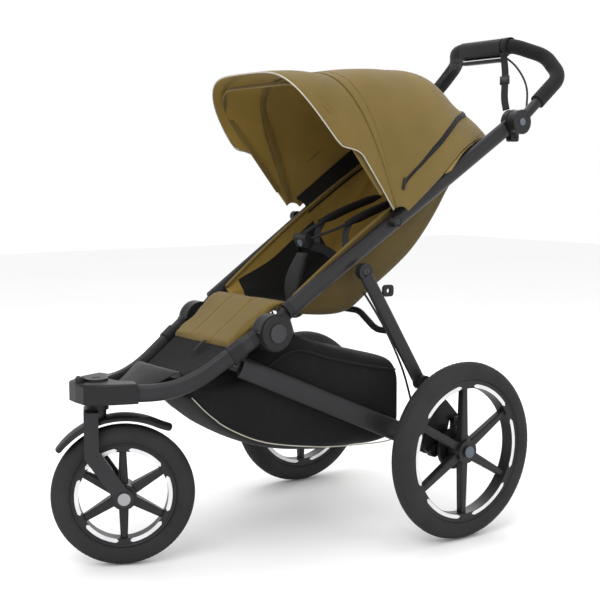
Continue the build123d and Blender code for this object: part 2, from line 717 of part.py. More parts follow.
CROSS_Y = 178.0
cross_on = main_tube(CROSS_Y)
with BuildPart() as cross_tube:
    with BuildSketch(side(0)):
        with Locations((CROSS_Y, cross_on.Z - 3)):
            Circle(12)
            Circle(10, mode=Mode.SUBTRACT)
    extrude(amount=cross_on.X - TUBE_W / 2 - 1.5, both=True)
save(cross_tube.part, "cross_tube")

# ---------------------------------------------------------------- handlebar
DISC_IN = HOUSING_OUT + GAP
DISC_OUT = 224.0
bar_x = DISC_IN + BAR_R + 0.5
bar_points = [at(bar_x, HANDLE_Y + 18, HANDLE_Z + 14), at(bar_x, 402, 1051), at(158, 408, 1104),
              at(99, BAR_TOP_Y, BAR_TOP_Z)]
whole_bar = bar_points + [Vector(-p.X, p.Y, p.Z) for p in reversed(bar_points)]
bar_radii = [48, 48, 60, 60, 48, 48]

with BuildPart() as bar:
    add(round_bar(whole_bar, bar_radii, BAR_R))
    for way in (1, -1):
        with BuildSketch(side(way * DISC_IN)):
            with Locations((HANDLE_Y, HANDLE_Z)):
                Circle(HANDLE_R - 1)
        extrude(amount=way * (DISC_OUT - DISC_IN))
        with BuildSketch(side(way * DISC_IN)):
            with Locations((HANDLE_Y, HANDLE_Z)):
                Circle(8 + RUN)
        extrude(amount=way * 12.5, mode=Mode.SUBTRACT)
        with BuildSketch(side(way * (DISC_OUT - 6))):
            with Locations((HANDLE_Y, HANDLE_Z)):
                Circle(9)
        extrude(amount=way * 10, mode=Mode.SUBTRACT)
save(bar.part, "handle_bar")

grip_points = [bar_points[0] + (bar_points[1] - bar_points[0]) * 0.36] + bar_points[1:]
GRIP_END_X = 73.0
grip_points.append(at(GRIP_END_X, BAR_TOP_Y, BAR_TOP_Z))
save_both(round_bar(grip_points, bar_radii[:3], GRIP_R, BAR_R), "handle_grips")

with BuildPart() as brake_housing:
    with BuildSketch(side(-72)):
        with Locations((BAR_TOP_Y + 1, BAR_TOP_Z - 3)):
            RectangleRounded(40, 46, 17)
        with Locations((BAR_TOP_Y, BAR_TOP_Z)):
            Circle(BAR_R, mode=Mode.SUBTRACT)
    extrude(amount=144)
save(brake_housing.part, "brake_housing")

with BuildPart() as brake_lever:
    with BuildSketch(side(-66)):
        with Locations((BAR_TOP_Y - 4, BAR_TOP_Z - 34)):
            RectangleRounded(22, 9, 4)
    extrude(amount=132)
save(brake_lever.part, "brake_lever")

with BuildPart() as tilt_button:
    with BuildSketch(side(DISC_OUT - 2.5)):
        with Locations((HANDLE_Y, HANDLE_Z)):
            Circle(8.9)
    extrude(amount=5)
    fillet(tilt_button.faces().sort_by(Axis.X)[-1].edges(), 2)
save_pair(tilt_button.part, "tilt_button")

# ---------------------------------------------------------------- brake cables
CABLE_R = 2.5
handle_route = [at(72, 346, 1109), at(104, 345, 1093), at(138, 341, 1065), at(168, 332, 1032),
                at(187, 317, 999), at(bar_x - BAR_R, 299, 967)]
save_both(round_bar(handle_route, bend_radii(handle_route), CABLE_R), "handle_cables")

leg_route = [at(206, -204, 560), at(214, -178, 520), at(222, -150, 470), at(229, -124, 415),
             at(235, -104, 362), at(237, -90, 310)]
save_both(round_bar(leg_route, bend_radii(leg_route), CABLE_R), "leg_cables")

# ---------------------------------------------------------------- seat
with BuildPart() as seat_base:
    outer = [(-343, 524), (-228, 507), (-176, 511), (-122, 545), (-122, 672), (-343, 540)]
    inner = [(-360, 524 + FABRIC + 1), (-228, 507 + FABRIC), (-176, 511 + FABRIC),
             (-110, 553 + FABRIC), (-110, 720), (-360, 720)]
    with BuildSketch(side(-SEAT_HALF)):
        Polygon(*outer, align=None)
    extrude(amount=2 * SEAT_HALF)
    with BuildSketch(side(-SEAT_HALF + FABRIC)):
        Polygon(*inner, align=None)
    extrude(amount=2 * (SEAT_HALF - FABRIC), mode=Mode.SUBTRACT)
save(seat_base.part, "seat_base")

with BuildPart() as seat_back:
    outer = [(-112, 566), (-1, 640), (75, 728), (121, 808), (150, 868), (-112, 690)]
    inner = [(-130, 566), (-112, 566 + 2 * FABRIC), (-14, 652), (58, 738), (101, 814), (128, 880),
             (-130, 900)]
    with BuildSketch(side(-BACK_HALF)):
        Polygon(*outer, align=None)
    extrude(amount=2 * BACK_HALF)
    with BuildSketch(side(-BACK_HALF + FABRIC)):
        Polygon(*inner, align=None)
    extrude(amount=2 * (BACK_HALF - FABRIC), mode=Mode.SUBTRACT)
save(seat_back.part, "seat_back")

# ---------------------------------------------------------------- harness
with BuildPart() as crotch_strap:
    with BuildSketch(side(-27)):
        with BuildLine():
            Polyline((-264, 524), (-250, 523), (-232, 590), (-211, 634), (-220, 639), (-243, 596),
                     close=True)
        make_face()
    extrude(amount=54)
save(crotch_strap.part, "crotch_strap")

BUCKLE_Y = -216.0
BUCKLE_Z = 662.0
BUCKLE_LEAN = radians(25)
buckle_face = Plane(origin=at(0, BUCKLE_Y - 4, BUCKLE_Z - 2), x_dir=(1, 0, 0),
                    z_dir=(0, -cos(BUCKLE_LEAN), -sin(BUCKLE_LEAN)))
with BuildPart() as buckle:
    with BuildSketch(side(-24)):
        with Locations((BUCKLE_Y, BUCKLE_Z)):
            RectangleRounded(16, 34, 6, rotation=25)
    extrude(amount=48)
    with BuildSketch(buckle_face.offset(0.5)):
        Circle(9)
    extrude(amount=20, mode=Mode.SUBTRACT)
save(buckle.part, "buckle")

with BuildPart() as buckle_button:
    with BuildSketch(buckle_face.offset(3.5)):
        Circle(8.5)
    extrude(amount=3.5)
save(buckle_button.part, "buckle_button")

with BuildPart() as shoulder_pads:
    for x in (-78, 42):
        with BuildSketch(side(x)):
            with BuildLine():
                Polyline((-11, 662), (54, 741), (89, 803), (80, 808), (45, 747), (-19, 669),
                         close=True)
            make_face()
        extrude(amount=36)
save(shoulder_pads.part, "shoulder_pads")


# ---------------------------------------------------------------- canopy
def arch_plane(phi):
    """The plane of a canopy bow: it holds the hinge line and leans by phi from the rear."""
    lean = radians(phi)
    return Plane(origin=at(0, CANOPY_Y, CANOPY_Z), x_dir=(1, 0, 0), z_dir=(0, -sin(lean), cos(lean)))


def hood(phi0, height0, phi1, height1, base0=30.0, base1=30.0, half=CANOPY_HALF,
         corner=CANOPY_CORNER, over=0.0):
    """A solid between two bows; over turns both ends outwards so that it cuts cleanly."""
    with BuildPart() as solid:
        for phi, height, base in ((phi0 - over, height0, base0), (phi1 + over, height1, base1)):
            with BuildSketch(arch_plane(phi)) as arch:
                with Locations((0, (height + base) / 2)):
                    Rectangle(2 * half, height - base)
                fillet(arch.vertices().group_by(Axis.Y)[-1], corner)
        loft()
    return solid.part


def hood_shell(phi0, height0, phi1, height1, base0=30.0, base1=30.0):
    """A fabric hood between two bows, open below and at both ends."""
    outer = hood(phi0, height0, phi1, height1, base0, base1)
    inner = hood(phi0, height0 - CANOPY_WALL, phi1, height1 - CANOPY_WALL, base0 - 15, base1 - 15,
                 CANOPY_HALF - CANOPY_WALL, CANOPY_CORNER - CANOPY_WALL, over=0.4)
    return outer - inner


REAR_PHI = 38.5
MID_PHI = 66.0
FRONT_PHI = 113.0
BRIM_PHI = 132.0
REAR_H = 438.0
MID_H = 382.0
FRONT_H = 347.0
BRIM_H = 412.0

REAR_WALL_BASE = 312.0

with BuildPart() as canopy_rear:
    add(hood_shell(REAR_PHI, REAR_H, MID_PHI - 0.4, MID_H))
    add(hood(REAR_PHI, REAR_H, REAR_PHI + 1, REAR_H, REAR_WALL_BASE, REAR_WALL_BASE))
save(canopy_rear.part, "canopy_rear")
save(hood_shell(MID_PHI + 0.4, MID_H, FRONT_PHI - 0.4, FRONT_H), "canopy_middle")
save(hood_shell(FRONT_PHI + 0.4, FRONT_H, BRIM_PHI, BRIM_H, 60, 60), "canopy_brim")

BOW_GAP = 7.0
BOW_T = 3.0
BOW_W = 12.0
BOW_BASE = 40.0
BRIM_BASE = 75.0


def bow(phi, height, base):
    """A flat bow that the fabric is sewn over, just inside the hood."""
    arches = []
    for inset in (BOW_GAP, BOW_GAP + BOW_T):
        with BuildPart() as arch:
            with BuildSketch(arch_plane(phi)) as ring:
                with Locations((0, (height - inset + base) / 2)):
                    Rectangle(2 * (CANOPY_HALF + 1 - inset), height - inset - base)
                fillet(ring.vertices().group_by(Axis.Y)[-1], CANOPY_CORNER - inset)
            extrude(amount=BOW_W / 2, both=True)
        arches.append(arch.part)
    return arches[0] - arches[1]


save(bow(FRONT_PHI - 3, FRONT_H - 7, BOW_BASE), "canopy_bow_middle")
save(bow(BRIM_PHI - 3, BRIM_H - 25, BRIM_BASE), "canopy_bow_front")


with BuildPart() as canopy_mount:
    with BuildSketch(side(main_tube(CANOPY_Y).X + TUBE_W / 2 + 1.3)):
        with Locations((CANOPY_Y, CANOPY_Z - 4)):
            Circle(13)
    extrude(amount=CANOPY_HALF - 10 - main_tube(CANOPY_Y).X - TUBE_W / 2)
save_both(canopy_mount.part, "canopy_mounts")

# ---------------------------------------------------------------- basket
BASKET_WALL = 4.0
basket_outer = [(-560, 372), (-531, 308), (-481, 266), (-398, 224), (-290, 204), (-112, 206),
                (-100, 218), (-292, 306), (-440, 372)]


def basket_body(inset):
    """The bag's solid: a side outline between slanted flanks."""
    with BuildPart() as bag:
        with BuildSketch(side(-260)):
            Polygon(*basket_outer, align=None)
            if inset:
                offset(amount=-inset, kind=Kind.INTERSECTION, mode=Mode.REPLACE)
        extrude(amount=520)
        with BuildSketch(Plane.XY.offset(150)):
            with BuildLine():
                edge = Polyline(at(0, -600, 0), at(86 - inset, -600, 0), at(92 - inset, -545, 0),
                                at(206 - inset, -130, 0), at(206 - inset, -60, 0), at(0, -60, 0))
                mirror(edge, about=Plane.YZ)
            make_face()
        extrude(amount=300, mode=Mode.INTERSECT)
    return bag.part


with BuildPart() as basket:
    add(basket_body(0))
    add(basket_body(BASKET_WALL), mode=Mode.SUBTRACT)
    with BuildSketch(Plane.XY.offset(250)):
        with Locations((0, REAR_AXLE_Y - 250)):
            Rectangle(170, 200)
    extrude(amount=200, mode=Mode.SUBTRACT)
save(basket.part, "basket")
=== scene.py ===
import math

import bpy
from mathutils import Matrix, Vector, noise


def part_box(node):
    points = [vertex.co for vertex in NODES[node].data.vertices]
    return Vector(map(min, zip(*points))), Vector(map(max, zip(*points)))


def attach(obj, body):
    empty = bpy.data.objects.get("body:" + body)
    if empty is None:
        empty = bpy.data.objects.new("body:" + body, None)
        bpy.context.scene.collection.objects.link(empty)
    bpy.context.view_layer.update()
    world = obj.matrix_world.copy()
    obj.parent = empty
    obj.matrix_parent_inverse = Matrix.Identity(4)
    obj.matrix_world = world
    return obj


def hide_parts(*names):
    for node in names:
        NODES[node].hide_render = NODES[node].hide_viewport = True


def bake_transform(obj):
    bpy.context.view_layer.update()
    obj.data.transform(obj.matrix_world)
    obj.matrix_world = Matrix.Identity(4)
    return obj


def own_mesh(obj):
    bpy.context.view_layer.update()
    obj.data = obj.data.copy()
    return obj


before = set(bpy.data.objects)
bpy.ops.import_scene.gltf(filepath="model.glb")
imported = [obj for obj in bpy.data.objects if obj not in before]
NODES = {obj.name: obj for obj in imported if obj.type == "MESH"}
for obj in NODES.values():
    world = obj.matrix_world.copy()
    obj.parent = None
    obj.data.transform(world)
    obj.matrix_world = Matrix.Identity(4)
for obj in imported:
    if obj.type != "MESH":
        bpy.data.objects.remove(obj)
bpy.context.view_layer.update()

# Places are given from the ground and, along Y, from the rear axle, in metres; the front is -Y.
axle_low, axle_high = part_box("rear_tyre_left")
AXLE_Y = (axle_low.y + axle_high.y) / 2


def P(x, y, z):
    """A place measured from the rear axle, in the frame."""
    return Vector((x, y + AXLE_Y, z))


# ------------------------------------------------------------------ camera, light, floor
CAMERA_AT = P(2.1535, -1.7836, 0.8188)
CAMERA_TOWARDS = Vector((-0.8053, 0.5827, -0.1096))
camera = bpy.data.objects.new("camera", bpy.data.cameras.new("camera"))
bpy.context.scene.collection.objects.link(camera)
camera.location = CAMERA_AT
camera.rotation_euler = CAMERA_TOWARDS.to_track_quat("-Z", "Y").to_euler()
camera.data.sensor_width = 36
camera.data.lens = 69.35
bpy.context.scene.camera = camera
bpy.context.scene.view_settings.view_transform = "Standard"


AIM = P(0, -0.2, 0.5)


def area_light(name, place, size, power):
    """A soft lamp that faces the middle of the stroller."""
    lamp = bpy.data.objects.new(name, bpy.data.lights.new(name, "AREA"))
    bpy.context.scene.collection.objects.link(lamp)
    lamp.location = place
    lamp.rotation_euler = (AIM - lamp.location).to_track_quat("-Z", "Y").to_euler()
    lamp.data.size = size
    lamp.data.energy = power


area_light("key", P(1.6, -2.6, 2.9), 2.2, 46)
area_light("top", P(-0.3, 0.2, 3.4), 2.6, 40)
area_light("fill", P(3.2, 0.8, 1.2), 2.4, 9)
area_light("rim", P(-2.2, 1.8, 1.8), 1.8, 24)

world = bpy.data.worlds.new("studio")
bpy.context.scene.world = world
world.use_nodes = True
world.node_tree.nodes["Background"].inputs["Color"].default_value = (1, 1, 1, 1)
world.node_tree.nodes["Background"].inputs["Strength"].default_value = 1.0


# ------------------------------------------------------------------ materials
class Shade:
    """A principled material and the few nodes that every finish here is made of."""

    def __init__(self, name, colour, roughness, metallic=0.0, sheen=0.0, coat=0.0):
        self.material = bpy.data.materials.new(name)
        self.material.use_nodes = True
        self.tree = self.material.node_tree
        self.surface = self.tree.nodes["Principled BSDF"]
        self.colour = colour
        self.set("Base Color", (*colour, 1))
        self.set("Roughness", roughness)
        self.set("Metallic", metallic)
        self.set("Specular IOR Level", 0.28)
        if sheen:
            self.set("Sheen Weight", sheen)
            self.set("Sheen Roughness", 0.45)
        if coat:
            self.set("Coat Weight", coat)
        self.place = self.node("ShaderNodeTexCoord").outputs["Object"]
        self.normal = None

    def set(self, socket, value):
        self.surface.inputs[socket].default_value = value

    def node(self, kind, **inputs):
        made = self.tree.nodes.new(kind)
        for name, value in inputs.items():
            made.inputs[name.replace("_", " ")].default_value = value
        return made

    def link(self, output, socket):
        self.tree.links.new(output, socket)

    def noise(self, scale, detail=3.0, stretch=(1, 1, 1)):
        mapping = self.node("ShaderNodeMapping", Scale=stretch)
        self.link(self.place, mapping.inputs["Vector"])
        made = self.node("ShaderNodeTexNoise", Scale=scale, Detail=detail)
        self.link(mapping.outputs["Vector"], made.inputs["Vector"])
        return made.outputs["Fac"]

    def cells(self, scale):
        made = self.node("ShaderNodeTexVoronoi", Scale=scale)
        self.link(self.place, made.inputs["Vector"])
        return made.outputs["Distance"]

    def stripes(self, scale, direction):
        made = self.node("ShaderNodeTexWave", Scale=scale, Distortion=0.3)
        made.bands_direction = direction
        self.link(self.place, made.inputs["Vector"])
        return made.outputs["Fac"]

    def tint(self, value, low, high, start=0.3, end=0.7):
        """Colour between two shares of the base colour, as value goes from start to end."""
        ramp = self.node("ShaderNodeValToRGB")
        ramp.color_ramp.elements[0].position = start
        ramp.color_ramp.elements[0].color = (*(c * low for c in self.colour), 1)
        ramp.color_ramp.elements[1].position = end
        ramp.color_ramp.elements[1].color = (*(min(1, c * high) for c in self.colour), 1)
        self.link(value, ramp.inputs["Fac"])
        self.link(ramp.outputs["Color"], self.surface.inputs["Base Color"])

    def rough(self, value, low, high):
        span = self.node("ShaderNodeMapRange", To_Min=low, To_Max=high)
        self.link(value, span.inputs["Value"])
        self.link(span.outputs["Result"], self.surface.inputs["Roughness"])

    def bump(self, value, strength, distance):
        made = self.node("ShaderNodeBump", Strength=strength, Distance=distance)
        self.link(value, made.inputs["Height"])
        if self.normal is not None:
            self.link(self.normal, made.inputs["Normal"])
        self.normal = made.outputs["Normal"]
        self.link(self.normal, self.surface.inputs["Normal"])


def woven(name, colour, sheen, low=0.86, high=1.1):
    """Plain weave: two crossing sets of threads, a faint heather and soft creases."""
    made = Shade(name, colour, 0.88, sheen=sheen)
    made.tint(made.noise(7, 6), low, high)
    made.rough(made.noise(60), 0.8, 0.95)
    for direction in ("X", "Z", "Y"):
        made.bump(made.stripes(900, direction), 0.16, 0.0004)
    made.bump(made.noise(1500), 0.15, 0.0003)
    made.bump(made.noise(9, 2, (1, 1, 0.45)), 0.35, 0.006)
    return made.material


def netting(name, colour):
    """Open mesh: a dark grid of cells on a soft sag."""
    made = Shade(name, colour, 0.75, sheen=0.15)
    made.tint(made.cells(520), 0.35, 1.6, 0.1, 0.6)
    made.bump(made.cells(520), 0.6, 0.0008)
    made.bump(made.noise(14, 2), 0.3, 0.004)
    return made.material


def strap_weave(name, colour):
    """Twill webbing."""
    made = Shade(name, colour, 0.75, sheen=0.04)
    made.tint(made.noise(40), 0.8, 1.25)
    made.bump(made.stripes(420, "DIAGONAL"), 0.5, 0.0005)
    made.bump(made.noise(900), 0.2, 0.0003)
    return made.material


def coated_metal(name, colour, roughness, metallic=0.55):
    """Satin powder coat with a faint mottle."""
    made = Shade(name, colour, roughness, metallic, coat=0.08)
    made.tint(made.noise(5, 4), 0.88, 1.12)
    made.rough(made.noise(35, 5), roughness - 0.05, roughness + 0.07)
    made.bump(made.noise(1800), 0.10, 0.0002)
    return made.material


def moulded(name, colour, roughness=0.5):
    """Moulded plastic with a fine grain."""
    made = Shade(name, colour, roughness)
    made.tint(made.noise(8, 5), 0.85, 1.18)
    made.rough(made.noise(50, 4), roughness - 0.07, roughness + 0.08)
    made.bump(made.cells(1100), 0.22, 0.0003)
    return made.material


def rubber(name, colour):
    """Tyre rubber, dusty in places."""
    made = Shade(name, colour, 0.78)
    made.tint(made.noise(11, 7), 0.8, 1.25)
    made.rough(made.noise(80, 5), 0.68, 0.9)
    made.bump(made.noise(1300), 0.25, 0.0003)
    return made.material


def foam(name, colour):
    """Closed-cell grip foam."""
    made = Shade(name, colour, 0.92, sheen=0.1)
    made.tint(made.noise(25, 5), 0.85, 1.2)
    made.bump(made.cells(900), 0.5, 0.0005)
    made.bump(made.noise(120, 3), 0.2, 0.0010)
    return made.material


def reflective(name, colour):
    """Reflective tape with fine beads."""
    made = Shade(name, colour, 0.34, 0.45)
    made.tint(made.noise(30), 0.9, 1.08)
    made.bump(made.cells(1400), 0.35, 0.0003)
    return made.material


OLIVE = woven("olive_weave", (0.152, 0.103, 0.025), sheen=0.12)
# A darker copy of the olive cloth: painted shade for the seat shell's outside, under the frame tube.
OLIVE_PAINTED_SHADE = woven("olive_painted_shade", (0.078, 0.053, 0.013), sheen=0.06)
# A lighter copy of the olive cloth for the inner faces: painted light, standing in for light shining
# through the cloth into the shaded inside.
OLIVE_PAINTED_LIGHT = woven("olive_painted_light", (0.262, 0.172, 0.036), sheen=0.08)
SEAM = woven("olive_seam", (0.145, 0.098, 0.026), sheen=0.05)
BLACK_WEAVE = woven("black_weave", (0.0035, 0.0035, 0.0036), sheen=0.03, low=0.7, high=1.4)
NET = netting("black_net", (0.003, 0.003, 0.003))
STRAP = strap_weave("black_webbing", (0.0045, 0.0045, 0.005))
GREY_STRAP = strap_weave("grey_webbing", (0.035, 0.035, 0.038))
PAD_GREY = woven("pad_weave", (0.020, 0.020, 0.021), sheen=0.05)
FRAME = coated_metal("satin_frame", (0.026, 0.026, 0.028), 0.44)
CAST = coated_metal("painted_casting", (0.013, 0.013, 0.0145), 0.48, 0.35)
STEEL = coated_metal("plain_steel", (0.30, 0.30, 0.31), 0.35, 0.9)
PLASTIC = moulded("black_nylon", (0.010, 0.010, 0.011))
RIM_PLASTIC = moulded("rim_nylon", (0.012, 0.012, 0.013), 0.42)
BUTTON = moulded("grey_button", (0.10, 0.115, 0.14), 0.45)
BADGE = coated_metal("grey_disc", (0.045, 0.045, 0.048), 0.42, 0.6)
TYRE = rubber("tyre_rubber", (0.018, 0.018, 0.0185))
CABLE = moulded("cable_sheath", (0.006, 0.006, 0.0065), 0.42)
FOAM = foam("grip_foam", (0.008, 0.008, 0.0085))
SILVER = reflective("reflective_band", (0.72, 0.72, 0.74))
PIPING = reflective("light_piping", (0.42, 0.40, 0.33))

NODE_FINISH = {
    FRAME: ("front_tube_left", "front_tube_right", "upper_tube_left", "upper_tube_right",
            "lower_tube_left", "lower_tube_right", "rear_leg_left", "rear_leg_right",
            "leg_brace", "axle_beam", "cross_tube", "handle_bar", "fork"),
    CAST: ("nose_casting", "hub_housings", "upper_hubs", "pivot_brackets", "handle_housings",
           "uprights", "suspension_arm_left", "suspension_arm_right", "canopy_mounts"),
    STEEL: ("hub_pins", "front_axle"),
    PLASTIC: ("hub_covers", "caster_lock_knob", "quick_release_lever", "footrest_tray",
              "front_fender", "buckle", "brake_housing", "brake_lever", "strap_tabs"),
    RIM_PLASTIC: ("front_rim", "rear_rim_left", "rear_rim_right"),
    BUTTON: ("tilt_button_left", "tilt_button_right", "hub_button_left", "hub_button_right",
             "buckle_button"),
    TYRE: ("suspension_rubbers",),
    FOAM: ("handle_grips",),
    OLIVE: ("canopy_bow_middle", "canopy_bow_front"),
}
for finish, names in NODE_FINISH.items():
    for name in names:
        NODES[name].data.materials.clear()
        NODES[name].data.materials.append(finish)

# The castings' edges are rounded.
for name in ("nose_casting", "hub_housings", "handle_housings", "fork", "uprights"):
    weld = NODES[name].modifiers.new("weld", "WELD")
    weld.merge_threshold = 0.00002
    edge_round = NODES[name].modifiers.new("edges", "BEVEL")
    edge_round.width = 0.0022
    edge_round.segments = 2
    edge_round.limit_method = "ANGLE"
    edge_round.angle_limit = math.radians(50)
    edge_round.use_clamp_overlap = True


# ------------------------------------------------------------------ building helpers
def piece(name, points, faces, materials, smooth=True):
    """A mesh object from points and faces; materials is one or a list."""
    mesh = bpy.data.meshes.new(name)
    mesh.from_pydata([tuple(p) for p in points], [], faces)
    mesh.update()
    made = bpy.data.objects.new(name, mesh)
    bpy.context.scene.collection.objects.link(made)
    for material in materials if isinstance(materials, list) else [materials]:
        mesh.materials.append(material)
    for face in mesh.polygons:
        face.use_smooth = smooth
    return made


def grid(name, rows, materials, close_rows=False, close_columns=False, caps=False):
    """Quads through rows of points; closed along either way, with flat caps if asked."""
    high, wide = len(rows), len(rows[0])
    faces = []
    for i in range(high if close_rows else high - 1):
        for j in range(wide if close_columns else wide - 1):
            a, b = i * wide + j, i * wide + (j + 1) % wide
            c, d = ((i + 1) % high) * wide + (j + 1) % wide, ((i + 1) % high) * wide + j
            faces.append((a, b, c, d))
    if caps:
        faces.append(tuple(reversed(range(wide))))
        faces.append(tuple((high - 1) * wide + j for j in range(wide)))
    return piece(name, [p for row in rows for p in row], faces, materials)


def settle(made):
    """Turns the piece's modifiers into its mesh."""
    bpy.context.view_layer.update()
    shaped = made.evaluated_get(bpy.context.evaluated_depsgraph_get())
    mesh = bpy.data.meshes.new_from_object(shaped)
    made.modifiers.clear()
    made.data = mesh
    for face in mesh.polygons:
        face.use_smooth = True
    return made


def thicken(made, thickness, inner_material=0, offset=-1.0):
    """Gives cloth its thickness and smooths it once."""
    solid = made.modifiers.new("thickness", "SOLIDIFY")
    solid.thickness = thickness
    solid.offset = offset
    solid.material_offset = inner_material
    return smoothed(made)


def smoothed(made):
    """One round of subdivision, applied."""
    smooth = made.modifiers.new("smooth", "SUBSURF")
    smooth.levels = smooth.render_levels = 1
    return settle(made)


def spline(points, steps=8):
    """A smooth line through the points."""
    points = [Vector(p) for p in points]
    before = 2 * points[0] - points[1]
    after = 2 * points[-1] - points[-2]
    full = [before, *points, after]
    line = []
    for i in range(1, len(full) - 2):
        for k in range(steps):
            t = k / steps
            p0, p1, p2, p3 = full[i - 1:i + 3]
            line.append(0.5 * (2 * p1 + (p2 - p0) * t + (2 * p0 - 5 * p1 + 4 * p2 - p3) * t * t
                               + (3 * p1 - p0 - 3 * p2 + p3) * t ** 3))
    line.append(points[-1])
    return line


def along(points, count):
    """The polyline cut into equal steps."""
    lengths = [0.0]
    for a, b in zip(points, points[1:]):
        lengths.append(lengths[-1] + (b - a).length)
    line, k = [], 0
    for n in range(count):
        want = lengths[-1] * n / (count - 1)
        while k < len(points) - 2 and lengths[k + 1] < want:
            k += 1
        share = (want - lengths[k]) / max(1e-9, lengths[k + 1] - lengths[k])
        line.append(points[k].lerp(points[k + 1], min(1.0, share)))
    return line


def table(pairs):
    """A smooth function through (place, value) pairs."""
    def value(x):
        x = min(max(x, pairs[0][0]), pairs[-1][0])
        k = 0
        while k < len(pairs) - 2 and x > pairs[k + 1][0]:
            k += 1
        (x0, y0), (x1, y1) = pairs[k], pairs[k + 1]
        left = pairs[max(0, k - 1)]
        right = pairs[min(len(pairs) - 1, k + 2)]
        m0 = (y1 - left[1]) / (x1 - left[0])
        m1 = (right[1] - y0) / (right[0] - x0)
        t, h = (x - x0) / (x1 - x0), x1 - x0
        return ((2 * t ** 3 - 3 * t * t + 1) * y0 + (t ** 3 - 2 * t * t + t) * h * m0
                + (3 * t * t - 2 * t ** 3) * y1 + (t ** 3 - t * t) * h * m1)
    return value


def tube(name, line, radius, material, sides):
    """A round tube along a line."""
    rows, side = [], None
    for i, p in enumerate(line):
        heading = (line[min(i + 1, len(line) - 1)] - line[max(i - 1, 0)]).normalized()
        if side is None:
            side = heading.orthogonal().normalized()
        side = (side - heading * side.dot(heading)).normalized()
        up = heading.cross(side)
        rows.append([p + radius * (math.cos(a) * side + math.sin(a) * up)
                     for a in (2 * math.pi * k / sides for k in range(sides))])
    return grid(name, rows, material, close_columns=True, caps=True)


def ribbon(name, line, widths, outward, thickness, material):
    """Flat webbing along a line; outward gives its face's direction at each point."""
    rows = []
    for i, p in enumerate(line):
        heading = (line[min(i + 1, len(line) - 1)] - line[max(i - 1, 0)]).normalized()
        face = outward(p, i) if callable(outward) else Vector(outward)
        across = heading.cross(face).normalized()
        face = across.cross(heading).normalized()
        width = widths[i] if isinstance(widths, list) else widths
        half, t = width / 2, thickness / 2
        ring = [(-half, 0), (-half * 0.96, t), (-half * 0.5, t), (0, t), (half * 0.5, t),
                (half * 0.96, t), (half, 0), (half * 0.96, -t), (0, -t), (-half * 0.96, -t)]
        rows.append([p + across * a + face * b for a, b in ring])
    return grid(name, rows, material, close_columns=True, caps=True)


def turned(name, profile, centre, axis, material, sides=40, ring=False):
    """A piece of revolution: profile is (distance along the axis, radius), and a ring joins its ends."""
    axis = Vector(axis).normalized()
    one = axis.orthogonal().normalized()
    two = axis.cross(one)
    rows = [[centre + axis * d + r * (math.cos(a) * one + math.sin(a) * two)
             for a in (2 * math.pi * k / sides for k in range(sides))] for d, r in profile]
    return grid(name, rows, material, close_rows=ring, close_columns=True, caps=not ring)


def carry(made, body):
    """Gives the piece its body."""
    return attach(made, body)


def bend(made, slot, body_a, body_b, start, end):
    """Bakes the piece's transform into its mesh."""
    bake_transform(made)
    return made


def shares(steps):
    """Places from -1 to 1 in equal steps."""
    return [2 * k / steps - 1 for k in range(steps + 1)]


def ripple(p, scale, depth):
    """Soft unevenness of cloth at a point."""
    return depth * noise.noise(Vector(p) * scale)


# ------------------------------------------------------------------ cloth simulation for pads
PRESSURE = 4.0
FRAMES = 20


def inflate(made, voxel, cap):
    """Swells a closed pad with a short cloth simulation, as far as cap at any point."""
    remesh = made.modifiers.new("remesh", "REMESH")
    remesh.mode = "VOXEL"
    remesh.voxel_size = voxel
    settle(made)
    start = [v.co.copy() for v in made.data.vertices]
    cloth = made.modifiers.new("cloth", "CLOTH")
    cloth.settings.use_pressure = True
    cloth.settings.uniform_pressure_force = PRESSURE
    cloth.settings.effector_weights.gravity = 0
    cloth.settings.quality = 5
    cloth.point_cache.frame_start = 1
    cloth.point_cache.frame_end = FRAMES
    for step in range(1, FRAMES + 1):
        bpy.context.scene.frame_set(step)
    shaped = made.evaluated_get(bpy.context.evaluated_depsgraph_get())
    end = [v.co.copy() for v in shaped.data.vertices]
    made.modifiers.clear()
    bpy.context.scene.frame_set(1)
    for vertex, a, b in zip(made.data.vertices, start, end):
        move = b - a
        vertex.co = a + move * min(1.0, cap / max(move.length, 1e-9))
    made.data.update()
    return smoothed(made)


# ------------------------------------------------------------------ wheels
SECTION_R = 0.0235            # of the tyre's round section
BEAD = 131                    # degrees from the tread's middle to the rim
BLOCKS, PER_BLOCK, AROUND = 96, 4, 44


def tyre(name, centre, axis, wheel_r, body, node):
    """An air tyre with a blocked tread, a ribbed shoulder and a bead on the rim."""
    axis = Vector(axis).normalized()
    one = axis.orthogonal().normalized()
    two = axis.cross(one)
    rows = []
    for n in range(BLOCKS * PER_BLOCK):
        turn = 2 * math.pi * n / (BLOCKS * PER_BLOCK)
        radial = math.cos(turn) * one + math.sin(turn) * two
        row = []
        for m in range(AROUND):
            lean = -BEAD + 2 * BEAD * m / (AROUND - 1)
            reach = SECTION_R
            if abs(lean) < 52:
                phase = (n / PER_BLOCK + abs(lean) / 30) % 1.0
                if 9 < abs(lean) < 16 or (abs(lean) > 16 and phase < 0.26):
                    reach -= 0.0011
            elif abs(lean) < 60:
                reach -= 0.0007
            elif 92 < abs(lean) < 98 or 112 < abs(lean) < 118:
                reach += 0.0006
            lean = math.radians(lean)
            row.append(centre + radial * (wheel_r - SECTION_R + reach * math.cos(lean))
                       + axis * reach * math.sin(lean))
        rows.append(row)
    made = grid(name, rows, TYRE, close_rows=True, close_columns=True)
    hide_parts(node)
    return carry(made, body)


SPOKES = 6
BAND_SPREAD = 22.5            # degrees either side of a band's middle
BAND_HALF = 0.0042            # half the width of a band
BAND_STEPS = 18


